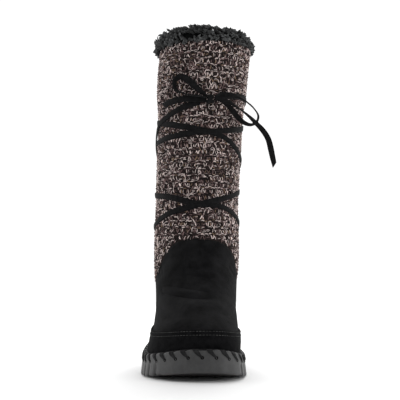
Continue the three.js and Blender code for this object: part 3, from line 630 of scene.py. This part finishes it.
# The knit: thick marled yarn of two plies, in rows of upright stitches and rows of bars, in black,
# brown, mauve and cream. Each stitch is a short arch of yarn whose ends dip under its neighbours.

columns_round = 90
tall_row = 0.0042
bar_row = 0.0028
ply_radius = 0.00037
ply_twist = 1.1
yarn_sides = 4
yarn_stations = 3
yarn_dip = 0.0008
yarn_arch = 0.0014
knit_top = collar_height + 0.0004
knit_bottom = 0.08
girth_height = 0.24  # the columns are even round the shaft at this height
seam_room = 0.0008
# The bar stitches' yarn is painted darker than the upright stitches' by this share, as painted shade.
bar_painted_shade = 0.82
turn_spread = 0.004
height_spread = 0.0003
turned_share = 0.18  # of the stitches, which lie the other way from their row
leg_lean = 0.0009
leg_reach = 0.68  # of a tall row, up and down from the stitch's middle
bar_reach = 0.72  # of a column, to each side
yarn_colours = np.array(
    [
        (0.008, 0.006, 0.006),
        (0.045, 0.03, 0.028),
        (0.245, 0.165, 0.16),
        (0.98, 0.83, 0.79),
        (0.32, 0.22, 0.15),
    ]
)
ply_shares = ([0.06, 0.13, 0.29, 0.45, 0.07], [0.42, 0.25, 0.2, 0.1, 0.03])
chance = np.random.default_rng(7)
upward = np.array([0, 0, 1.0])

round_turns = np.linspace(0, 2 * np.pi, 361)
girth_lengths = lengths_along(np.array([on_shaft(turn, girth_height)[0] for turn in round_turns]))
column_lengths = np.arange(columns_round) * girth_lengths[-1] / columns_round
column_turns = np.interp(column_lengths, girth_lengths, round_turns)
column_width = girth_lengths[-1] / columns_round
suede_tree = tree_of(nodes["suede_foot"])

strands = []
row_height = knit_top
row = 0
while row_height > knit_bottom:
    tall = row % 2 == 0
    pitch = tall_row if tall else bar_row
    row_height -= pitch / 2
    for column in range(columns_round):
        turn = column_turns[column] + (0 if tall else np.pi / columns_round)
        turn += chance.normal(0, turn_spread)
        z = row_height + chance.normal(0, height_spread)
        if z > knit_top:
            continue
        spot, normal = on_shaft(turn, z)
        below = Vector(spot) + Vector(normal) * 0.01 - Vector((0, 0, seam_room))
        nearest = suede_tree.find_nearest(Vector(spot))[3]
        if nearest < 2 * seam_room or suede_tree.ray_cast(below, -Vector(normal), 0.014)[0] is not None:
            continue
        upright = tall != (chance.random() < turned_share)
        for leg in (-1, 1):
            if upright:
                lean = leg * chance.normal(leg_lean, 0.0005)
                offset = leg * column_width * 0.25
                start = (offset - lean, -leg_reach * tall_row)
                end = (offset + lean, leg_reach * tall_row)
                bow = chance.normal(0, 0.00022)
            else:
                rise = leg * bar_row * 0.26
                tilt = chance.normal(0, 0.0006)
                start = (-bar_reach * column_width, rise - tilt)
                end = (bar_reach * column_width, rise + tilt)
                bow = chance.normal(0.0004, 0.0003)
            strands.append((*spot, *normal, *start, *end, bow, turn, 1.0 if upright else bar_painted_shade))
    row_height -= pitch / 2
    row += 1
strands = np.array(strands)


def yarn_mesh(rows):
    """Points, faces and point colours of two twisted plies for each row of strands."""
    spot, normal = rows[:, None, 0:3], rows[:, None, 3:6]
    count = len(rows)
    round_way = unit(np.cross(upward, normal))
    up_way = unit(np.cross(normal, round_way))
    s = np.linspace(0, 1, yarn_stations)[None, :, None]
    start, end = rows[:, None, 6:8], rows[:, None, 8:10]
    flat = start + (end - start) * s
    level = end - start
    aside = np.stack([-level[..., 1], level[..., 0]], -1) / np.linalg.norm(level, axis=-1, keepdims=True)
    flat = flat + aside * rows[:, None, 10:11] * 4 * s * (1 - s)
    arch = yarn_arch + chance.normal(0, 0.00015, (count, 1, 1))
    lift = -yarn_dip + arch * np.sin(np.pi * s) ** 0.6
    middle = spot + round_way * flat[..., :1] + up_way * flat[..., 1:] + normal * lift
    along = unit(np.gradient(middle, axis=1))
    side = unit(np.cross(along, normal * np.ones_like(along)))
    over = np.cross(side, along)
    points, colours = [], []
    for ply in (0, 1):
        phase = chance.uniform(0, 2 * np.pi, (count, 1, 1)) if ply == 0 else phase + np.pi
        swing = phase + ply_twist * s
        centre = middle + (side * np.cos(swing) + over * np.sin(swing) * 0.6) * ply_radius * 0.85
        radius = ply_radius * (0.75 + 0.35 * np.sin(np.pi * s)) * chance.normal(1, 0.1, (count, 1, 1))
        angle = round_angles(yarn_sides)[None, None, :, None]
        rings = centre[:, :, None] + radius[:, :, None] * (
            side[:, :, None] * np.cos(angle) + over[:, :, None] * np.sin(angle)
        )
        points.append(rings.reshape(count, -1, 3))
        picked = yarn_colours[chance.choice(len(yarn_colours), count, p=ply_shares[ply])]
        # each ply's colour varies at random, and the bars also get their painted shade
        picked = picked * chance.uniform(0.75, 1.25, (count, 1)) * rows[:, 12:13]
        colours.append(np.repeat(picked[:, None], yarn_stations * yarn_sides, axis=1))
    tube = ring_faces(yarn_stations, yarn_sides, capped=False)
    faces = repeated(tube, 2 * count, yarn_stations * yarn_sides)
    return np.concatenate(points), faces, np.concatenate(colours).reshape(-1, 3)


def dyed_and_shaded(material):
    """Multiplies a finish's colour by the dye and painted shade that the mesh holds at each point."""
    tree = material.node_tree
    dye_and_shade = tree.nodes.new("ShaderNodeAttribute")
    dye_and_shade.attribute_name = "dye_and_shade"
    blend = tree.nodes.new("ShaderNodeMix")
    blend.data_type = "RGBA"
    blend.blend_type = "MULTIPLY"
    blend.inputs["Factor"].default_value = 1.0
    tint = tree.nodes["Color Ramp"]
    tree.links.new(dye_and_shade.outputs["Color"], blend.inputs[6])
    tree.links.new(tint.outputs["Color"], blend.inputs[7])
    tree.links.new(blend.outputs[2], tree.nodes["Principled BSDF"].inputs["Base Color"])


def dye_and_shade_points(piece, colours):
    """Gives each point of a piece's mesh its dye and painted shade."""
    dye_and_shade = piece.data.color_attributes.new("dye_and_shade", "FLOAT_COLOR", "POINT")
    dye_and_shade.data.foreach_set("color", np.hstack([colours, np.ones((len(colours), 1))]).ravel().astype(np.float32))


wool = finish_for(
    "marled_wool_yarn", dark=(0.5, 0.5, 0.5), light=(1.2, 1.2, 1.2),
    patch=0.0016, grain=0.0004, depth=0.0002, roughness=0.95, shine=0.1, sheen=0.05,
)
dyed_and_shaded(wool)
quarters = ((strands[:, 11] + np.pi / 4) // (np.pi / 2) % 4).astype(int)
for quarter, name in enumerate(("front", "inner", "back", "outer")):
    chosen = quarters == quarter
    points, faces, colours = yarn_mesh(strands[chosen])
    dye_and_shade_points(new_piece("knit_yarn_" + name, points, faces, wool), colours)

# The suede foot: one wrap of thick black suede over vamp and heel, with an arched top edge that is
# sewn down on the knit. It creases softly where the foot bends and above the heel.

suede_finish = finish_for(
    "black_suede", dark=(0.0012, 0.0012, 0.0014), light=(0.0128, 0.0128, 0.0136),
    patch=0.02, grain=0.0008, depth=0.0006, roughness=0.95, shine=0.05, sheen=0.02,
)
suede_foot = rounded_copy("suede_foot", "suede_foot_nap", suede_finish, 3)

# Each crease: turn from the front in degrees and height of its two ends, then how far it sinks (or
# stands out, where negative), and how broad it is, in metres.
suede_creases = [
    (-34, 0.084, 16, 0.075, 0.0026, 0.0042),
    (-20, 0.103, 34, 0.096, 0.0014, 0.005),
    (-44, 0.066, -6, 0.056, 0.0016, 0.005),
    (8, 0.06, 48, 0.07, 0.0018, 0.005),
    (-30, 0.074, 20, 0.067, -0.0014, 0.0045),
    (-60, 0.108, -34, 0.096, 0.0014, 0.0045),
    (40, 0.11, 64, 0.096, 0.0014, 0.0045),
    (150, 0.062, 210, 0.064, 0.0009, 0.005),
    (156, 0.08, 204, 0.078, -0.0007, 0.005),
]
crease_axis = 0.03  # the Y that their turns are measured round
crease_radius = 0.05  # turns times this are lengths round the foot


def creased(piece, creases):
    """Presses soft creases into a piece, each a straight trough or ridge that fades at its ends."""
    mesh = piece.data
    points = np.array([v.co for v in mesh.vertices])
    ways = np.array([v.normal for v in mesh.vertices])
    turns = np.degrees(np.arctan2(points[:, 0] - sole_middle.x, -(points[:, 1] - crease_axis)))
    for turn_a, height_a, turn_b, height_b, sink, broad in creases:
        start = np.array([math.radians(turn_a) * crease_radius, height_a])
        run = np.array([math.radians(turn_b) * crease_radius, height_b]) - start
        length = np.linalg.norm(run)
        run = run / length
        around = np.where(turns < turn_a - 180, turns + 360, turns)
        spots = np.stack([np.radians(around) * crease_radius, points[:, 2]], axis=1) - start
        along = spots @ run / length
        aside = spots @ np.array([-run[1], run[0]])
        ends = np.clip(1.25 - np.abs(2 * along - 1), 0, 1)
        fade = ends * ends * (3 - 2 * ends)
        points -= ways * (sink * fade * np.exp(-((aside / broad) ** 2)))[:, None]
    mesh.vertices.foreach_set("co", points.astype(np.float32).ravel())
    mesh.update()


creased(suede_foot, suede_creases)

# The rand: a second strip of the same suede round the foot, tucked into the cup. Two rows of grey
# thread along its top edge sew it to the suede foot.

# The rand's finish is the foot's suede painted darker, a painted shade.
rand_shaded_suede_finish = finish_for(
    "black_rand_suede_painted_shade", dark=(0.0018, 0.0018, 0.0022), light=(0.0085, 0.0085, 0.0092),
    patch=0.005, grain=0.0007, depth=0.0003, roughness=0.95, shine=0.04, sheen=0.01,
)
rand = rounded_copy("rand", "rand_nap", rand_shaded_suede_finish, 2)

rand_top_between = (0.03, 0.09)
thread_radius = 0.00026
thread_sides = 6
thread_steps = 4
thread_arch = 0.0003
thread_length = 0.002
thread_pitch = 0.0031
thread_rows = (0.0014, 0.0048)
rand_tree = tree_of(rand)


def rand_point(turn, drop):
    """A point of the rand's outside, a drop below its top edge, and its outward way."""
    away = Vector((math.sin(turn), -math.cos(turn), 0))
    low, high = rand_top_between
    for _ in range(12):
        z = (low + high) / 2
        middle = Vector((sole_middle.x, sole_middle.y, z))
        hit = rand_tree.ray_cast(middle + away * ray_start, -away)[0]
        if hit is None or (hit - middle).dot(away) < 0.01:
            high = z
        else:
            low = z
    middle = Vector((sole_middle.x, sole_middle.y, low - drop))
    hit, normal = rand_tree.ray_cast(middle + away * ray_start, -away)[:2]
    return np.array(hit), np.array(normal)


def counted_from(first, faces):
    """The same faces for points that start at another number."""
    return [[first + point for point in face] for face in faces]


def thread_rings(start, end, bend):
    """Rings of a short thread that arches out of the surface between two points."""
    s = np.linspace(0, 1, thread_steps)[:, None]
    middles = start + (end - start) * s + bend * (4 * s * (1 - s))
    along = unit(np.gradient(middles, axis=0))
    side = unit(np.cross(along, bend))
    over = np.cross(side, along)
    angle = round_angles(thread_sides)[None, :, None]
    return middles[:, None] + thread_radius * (side[:, None] * np.cos(angle) + over[:, None] * np.sin(angle))


thread_points = []
for drop in thread_rows:
    found = [rand_point(turn, drop) for turn in round_turns]
    line = np.array([f[0] for f in found])
    ways = np.array([f[1] for f in found])
    lengths = lengths_along(line)
    threads = round(lengths[-1] / thread_pitch)
    for k in range(threads):
        start = k * lengths[-1] / threads
        ends = [
            np.array([np.interp(start + ahead, lengths, line[:, c], period=lengths[-1]) for c in range(3)])
            for ahead in (0, thread_length)
        ]
        thread_points.append(thread_rings(*ends, rows_at(start, lengths, ways) * thread_arch))
thread_faces = []
for k in range(len(thread_points)):
    thread_faces += counted_from(k * thread_steps * thread_sides, ring_faces(thread_steps, thread_sides))
thread_finish = finish_for(
    "grey_thread", dark=(0.014, 0.014, 0.014), light=(0.085, 0.087, 0.083),
    patch=0.006, grain=0.0003, depth=0.0001, roughness=0.8,
)
new_piece("rand_stitching", np.concatenate(thread_points), thread_faces, thread_finish)

# The fleece collar: long curly pile on a cloth backing, rolled over the top of the shaft. The pile
# hangs together in locks that curl at their tips.

fleece_height = 0.011
fleece_lap = 0.0002
fleece_turn = 0.014
fleece_proud = 0.0022
fleece_pile = 0.004
wall = 0.0043
roll_sides = 120
lump_size = 0.0008
pile_top = 0.0164  # the locks are trimmed at this height over the collar's edge
clump_count = 500
clump_turn_share = 0.618034  # of a full turn, from each clump to the next
clump_places = (0.02, 0.62, 0.98, 0.32, 0.85, 0.06, 1.4, 0.92)
locks_per_clump = 6
lock_lengths = (0.0072, 0.0104)
lock_widths = (0.0009, 0.0016)
lock_taper = np.array([0.85, 1.0, 1.1, 1.05, 0.9, 0.66, 0.3])
lock_stations = len(lock_taper)
lock_sides = 5
root_depth = 0.0018
chance = np.random.default_rng(39)

fleece_finish = finish_for(
    "charcoal_fleece", dark=(0.012, 0.0125, 0.0126), light=(0.112, 0.1155, 0.1165),
    patch=0.0022, grain=0.0007, depth=0.0007, roughness=0.85, shine=0.15, sheen=0.05,
)
dyed_and_shaded(fleece_finish)


def by_collar(turn, out, up):
    """A point beside the collar: moved out sideways, and up or down from its edge."""
    spot, normal = on_shaft(turn, collar_height - 0.0015 + min(up, 0))
    away = unit(normal * np.array([1, 1, 0]))
    return np.array([spot[0], spot[1], collar_height + up]) + away * out, away


roll_profile = [
    (0.0006, -fleece_lap),
    (0.7 * fleece_proud, -fleece_lap - 0.0004),
    (fleece_proud, -0.5 * fleece_lap),
    (fleece_proud, 0.1 * fleece_height),
    (0.6 * fleece_proud, 0.55 * fleece_height),
    (-0.001, 0.95 * fleece_height),
    (-0.5 * wall - 0.001, 0.95 * fleece_height),
    (-wall - 0.6 * fleece_pile, 0.5 * fleece_height),
    (-wall - fleece_pile, 0.0),
    (-wall - fleece_pile, -0.8 * fleece_turn),
    (-wall - 0.4 * fleece_pile, -fleece_turn),
    (-wall - 0.0006, -fleece_turn),
    (-wall - 0.0006, 0.0012),
    (0.0006, 0.0012),
]
# The outside of the roll swells outward in lumps, and its top swells upward.
roll = []
for turn in round_angles(roll_sides):
    lump = lump_size * (math.sin(9 * turn) + math.sin(23 * turn + 1) + math.sin(37 * turn + 2))
    ring = []
    for k, (out, up) in enumerate(roll_profile):
        ring.append(by_collar(turn, out + (lump if 1 <= k < 5 else 0), up + (lump if 3 < k < 8 else 0))[0])
    roll.append(ring)
roll_faces = ring_faces(len(roll), len(roll_profile), closed=True)
# The backing is painted near black, darker than any of the pile, as painted shade under and between the
# locks.
backing_shade_finish = finish_for(
    "fleece_backing_painted_shade", dark=(0.002, 0.0022, 0.0022), light=(0.007, 0.0078, 0.0078),
    patch=0.004, grain=0.0012, depth=0.001, roughness=1.0, shine=0.05,
)
new_piece("fleece_roll", roll, roll_faces, backing_shade_finish, ["fleece_trim"])


def fleece_locks():
    """Curled, tapering locks rooted all over the roll, in clumps that lean and curl the same way."""
    angle = round_angles(lock_sides)[None, :, None]
    points = []
    for k in range(clump_count):
        clump_turn = 2 * np.pi * (k + chance.uniform(-0.6, 0.6)) * clump_turn_share
        # Place 0 is the lower outside edge of the roll, 1 its top and 2 its lower inside edge.
        clump_place = clump_places[k % len(clump_places)] + chance.normal(0, 0.09)
        clump_lean = chance.normal(0, 0.26)
        clump_aside = chance.normal(0, 0.42)
        clump_curl = chance.uniform(0.7, 2.2)
        clump_axis = unit(chance.normal(0, 1, 3))
        beside = abs(math.sin(clump_turn))
        to_outer = max(0, -math.sin(clump_turn))
        side_fall = 1 - 0.5 * beside**4
        inner_fall = 1 - 0.25 * max(0, math.sin(clump_turn)) ** 2
        clump_length = chance.uniform(*lock_lengths) * (1 - 0.3 * beside + 0.3 * to_outer)
        for _ in range(locks_per_clump):
            turn = clump_turn + chance.normal(0, 0.024)
            place = max(-0.08, clump_place + chance.normal(0, 0.09))
            if place < 1:
                bulge = fleece_proud * math.cos(max(place, 0) * math.pi / 2) ** 0.6
                out = bulge + 0.0014 * to_outer * (1 - place)
                up = 0.0012 + (fleece_height - 0.0006) * place * side_fall * inner_fall
                lean = math.radians(100 - 84 * place + 30 * beside * place)
            else:
                past_top = math.sin((place - 1) * math.pi / 2) ** 0.6
                out = -wall * 0.5 - (wall * 0.5 + fleece_pile * 0.8) * past_top
                up = fleece_height - 0.0006 - (fleece_height + 0.7 * fleece_turn) * (place - 1) ** 1.4
                lean = -math.radians(16 + 70 * (place - 1))
            root, away = by_collar(turn, out - root_depth * math.copysign(1, lean), up)
            round_way = np.cross(upward, away)
            lean += clump_lean + chance.normal(0, 0.12)
            aim = away * math.sin(lean) + upward * math.cos(lean)
            aim = unit(aim + round_way * (clump_aside + chance.normal(0, 0.16)))
            curl_way = unit(np.cross(aim, clump_axis))
            curl = clump_curl * chance.uniform(0.7, 1.3)
            length = clump_length * chance.uniform(0.75, 1.15) * (0.8 if place > 1.25 else 0.7 + 0.34 * place)
            taper = chance.uniform(*lock_widths) * lock_taper[:, None, None]
            s = np.linspace(0, 1, lock_stations)
            heading = np.outer(np.cos(curl * s), aim) + np.outer(np.sin(curl * s), curl_way)
            run = np.cumsum(heading, axis=0) * length / lock_stations
            room_above = collar_height + pile_top * inner_fall - root[2]
            run *= min(1, max(0.3, room_above / max(run[:, 2].max(), 1e-6)))
            side = np.cross(aim, curl_way)
            over = np.cross(side, heading)[:, None]
            section = side * np.cos(angle) * 0.85 + over * np.sin(angle)
            points.append((root + run)[:, None] + taper * section)
    return np.array(points)


locks = fleece_locks()
lock_tube = ring_faces(lock_stations, lock_sides, capped=False)
lock_faces = repeated(lock_tube, len(locks), lock_stations * lock_sides)
pile = new_piece("fleece_locks", locks, lock_faces, fleece_finish)
# The pile is near black at its roots, where little light gets in, and each clump has its own shade.
root_to_tip = np.linspace(0.12, 1.3, lock_stations) ** 1.2
clump_shades = np.repeat(chance.uniform(0.4, 1.5, clump_count), locks_per_clump)
lock_shades = clump_shades * chance.uniform(0.8, 1.2, len(locks))
shades = (lock_shades[:, None, None] * root_to_tip[None, :, None] * np.ones((1, 1, lock_sides))).ravel()
dye_and_shade_points(pile, np.repeat(shades[:, None], 3, axis=1))

# The whip lacing: one thick black lace that comes up inside the lip, goes over it and slants down to
# a punched hole in the side of the sole, all the way round.

whip_width = 0.0042
whip_thickness = 0.001
whip_step = 0.0011
stitch_slant = 0.0065
run_inset = 0.0034
run_drop = 0.0006
run_width = 0.0024
run_thickness = 0.0016
run_steps = 360


def on_lip(length):
    """Place and outward way of the lip's outer edge, by the length along it."""
    lengths = np.append(lip_lengths[:columns], lip_total)
    places = np.vstack([lip_round, lip_round[:1]])
    ways = np.vstack([lip_outward, lip_outward[:1]])
    return rows_at(length % lip_total, lengths, places), unit(rows_at(length % lip_total, lengths, ways))


# A stitch from inside the lip down to its hole: share of the slant, depth below the lip's top,
# out from the lip's outer edge, and width as a share of the lace's.
stitch_rows = [
    (-0.12, 0.0034, -0.0038, 0.9),
    (-0.08, 0.0016, -0.0036, 1.0),
    (-0.02, 0.0006, -0.0026, 1.15),
    (0.06, 0.0004, -0.0014, 1.2),
    (0.14, 0.0012, -0.0003, 1.15),
    (0.3, 0.0025, 0.0003, 1.0),
    (0.55, 0.0042, 0.0005, 0.78),
    (0.8, 0.0058, 0.0005, 0.56),
    (0.94, 0.0068, 0.0002, 0.42),
    (1.0, 0.0073, -0.0008, 0.36),
]


def whip_stitch(i):
    """Rings of one stitch."""
    middles, faces_out, widths = [], [], []
    start = i * stitch_spacing
    shift = chance.normal(0, 0.0003)
    for slant, depth, out, share in stitch_rows:
        place, way = on_lip(start + shift + slant * stitch_slant)
        middles.append(place + way * (out + side_flare * depth / 0.02) - upward * depth)
        faces_out.append(way)
        widths.append(whip_width * share * chance.normal(1, 0.03))
    middles = np.array(middles)
    rows = np.hstack([middles, np.array(faces_out), np.array(widths)[:, None]])
    fine = smooth_route(rows, whip_step)
    along = unit(np.gradient(fine[:, :3], axis=0))
    level = unit(np.cross(upward, fine[:, 3:6]))
    across = unit(level - along * (along * level).sum(1, keepdims=True))
    return band_along(fine[:, :3], across, fine[:, 6], whip_thickness)


whip_points, whip_faces = [], []
made = 0
for i in range(stitch_count):
    rings = whip_stitch(i)
    whip_points.append(rings.reshape(-1, 3))
    whip_faces += counted_from(made, ring_faces(len(rings), band_sides))
    made += rings.size // 3

# The run of the lace inside the lip, from one stitch to the next.
run_places = [on_lip(k * lip_total / run_steps) for k in range(run_steps)]
run_middles = np.array([place - way * run_inset - upward * run_drop for place, way in run_places])
run_ways = np.array([way for place, way in run_places])
run_along = unit(np.roll(run_middles, -1, axis=0) - np.roll(run_middles, 1, axis=0))
run_up = np.cross(run_ways, run_along)
run_rings = band_rings(run_middles, run_ways, run_up, run_width, run_thickness)
whip_points.append(run_rings.reshape(-1, 3))
whip_faces += counted_from(made, ring_faces(run_steps, band_sides, closed=True))
whip_points = np.concatenate(whip_points)
whip_finish = finish_for(
    "black_whip_lace", dark=(0.005, 0.005, 0.0054), light=(0.026, 0.026, 0.0265),
    patch=0.003, grain=0.0005, depth=0.0003, roughness=0.85, shine=0.12, sheen=0.02,
)
new_piece("whip_lacing_cord", whip_points, whip_faces, whip_finish, ["whip_lacing"])

# The holes of the whip lacing: one for each stitch, punched through the side of the rubber sole, with
# a rolled rim that the lace presses on. Each is a shallow dish painted near black out to its rim, a painted
# shade for the inside of the hole.

hole_radius = 0.0014
hole_reach = 0.0075
hole_steps = 14
# The rings of a hole: their share of its radius, and how far they stand out of the sole.
hole_rings = [(0.8, 0.0), (1.0, 0.00025), (1.2, -0.0003)]
hole_points, hole_faces = [], []
for i in range(stitch_count):
    place, way = on_lip(i * stitch_spacing + stitch_slant * 1.05)
    level = unit(np.cross(upward, way))
    middle = place + way * (side_flare * 0.4 + 0.00005) - upward * hole_reach
    first = len(hole_points)
    hole_points.append(middle - way * 0.0004)
    for share, out in hole_rings:
        radius = hole_radius * share
        for k in range(hole_steps):
            turn = 2 * math.pi * k / hole_steps
            spot = level * math.cos(turn) * radius + upward * math.sin(turn) * radius
            hole_points.append(middle + spot + way * out)
    for k in range(hole_steps):
        after = (k + 1) % hole_steps
        hole_faces.append([first, first + 1 + k, first + 1 + after])
        for ring in range(len(hole_rings) - 1):
            inner = first + 1 + ring * hole_steps
            outer = inner + hole_steps
            hole_faces.append([inner + k, outer + k, outer + after, inner + after])
# The holes' near black is painted shade.
hole_shade_finish = finish_for(
    "punched_hole_painted_shade", dark=(0.0008, 0.0008, 0.0008), light=(0.002, 0.002, 0.002),
    patch=0.002, grain=0.001, depth=0.0001, roughness=0.9, shine=0.02,
)
new_piece("whip_holes", hole_points, hole_faces, hole_shade_finish)

# The lace round the shaft: from a low bar at the back it winds up to the knot, crossing twice in
# front and twice behind. Turns are in degrees from the front, positive to the inner side, and
# heights are shares of the boot's height.

lace_wraps = [
    (721, 0.809), (706, 0.799), (690, 0.786), (673, 0.77), (657, 0.754), (640, 0.731), (628, 0.7),
    (613, 0.652), (585, 0.618), (540, 0.588), (490, 0.558), (440, 0.54), (397, 0.5135), (373, 0.498),
    (357, 0.487), (335, 0.4745), (313, 0.458), (284, 0.434), (250, 0.427), (180, 0.425), (110, 0.433),
    (76, 0.448), (49, 0.475), (28, 0.49), (10, 0.492), (-5, 0.4955), (-25, 0.511), (-47, 0.521),
    (-85, 0.531), (-130, 0.552), (-180, 0.588), (-225, 0.615), (-270, 0.636), (-288, 0.654), (-308, 0.68),
    (-328, 0.703), (-347, 0.715), (-366, 0.725), (-396, 0.7405), (-445, 0.765), (-495, 0.769),
    (-540, 0.763), (-585, 0.757), (-625, 0.753), (-662, 0.733), (-703, 0.717), (-726, 0.713),
    (-748, 0.707), (-769, 0.702), (-795, 0.698), (-850, 0.722), (-900, 0.77), (-945, 0.812),
    (-990, 0.838), (-1035, 0.834), (-1061, 0.82),
]
passes_over = [(654, 0.752), (629, 0.702), (540, 0.588), (365, 0.494), (-707, 0.717), (-897, 0.768)]
lace_gap = 0.0006
crossing_rise = 0.0012
crossing_turn = 22  # degrees from a crossing to where its rise ends
crossing_height = 0.06  # the same up and down, as a share of the boot's height
oval_side = 0.0485
oval_depth = 0.0645
line_step = 0.004  # of a full turn
wrap_step = 0.0022
ease_reach = 6
ease_width = 2.5
roll_degrees = 6

wrap_line = smooth_route([(turn / 360, height, 0) for turn, height in lace_wraps], line_step)
wrap_middles, wrap_ways = [], []
for turns, height, _ in wrap_line:
    degrees = 360 * turns
    over = 0
    for turn, level in passes_over:
        away = ((degrees - turn) / crossing_turn) ** 2 + ((height - level) / crossing_height) ** 2
        over = max(over, 1 - away)
    out = lace_gap + lace_thickness / 2 + crossing_rise * over
    phi = math.radians(degrees)
    polar = math.atan2(oval_side * math.sin(phi), oval_depth * math.cos(phi))
    spot, normal = on_shaft(polar, height * collar_height, out)
    wrap_middles.append(spot)
    wrap_ways.append(normal)
wrap_rows = smooth_route(np.hstack([wrap_middles, wrap_ways]), wrap_step)
ease = np.exp(-0.5 * (np.arange(-ease_reach, ease_reach + 1) / ease_width) ** 2)
ease /= ease.sum()
for c in range(6):
    wrap_rows[:, c] = np.convolve(np.pad(wrap_rows[:, c], ease_reach, mode="edge"), ease, mode="valid")
wrap_along = unit(np.gradient(wrap_rows[:, :3], axis=0))
wrap_across = unit(np.cross(wrap_along, wrap_rows[:, 3:6]))
wrap_places = np.arange(len(wrap_rows))
wrap_roll = np.radians(roll_degrees * np.sin(wrap_places * 0.07))[:, None]
wrap_across = wrap_across * np.cos(wrap_roll) + unit(wrap_rows[:, 3:6]) * np.sin(wrap_roll)
wrap_widths = lace_width * (1.1 + 0.08 * np.sin(wrap_places * 0.11 + 1))
wrap_rings = band_along(wrap_rows[:, :3], wrap_across, wrap_widths, lace_thickness)
wrap_faces = ring_faces(len(wrap_rings), band_sides)
new_piece("lace_wraps_suede", wrap_rings, wrap_faces, lace_finish, ["lace_wraps"])
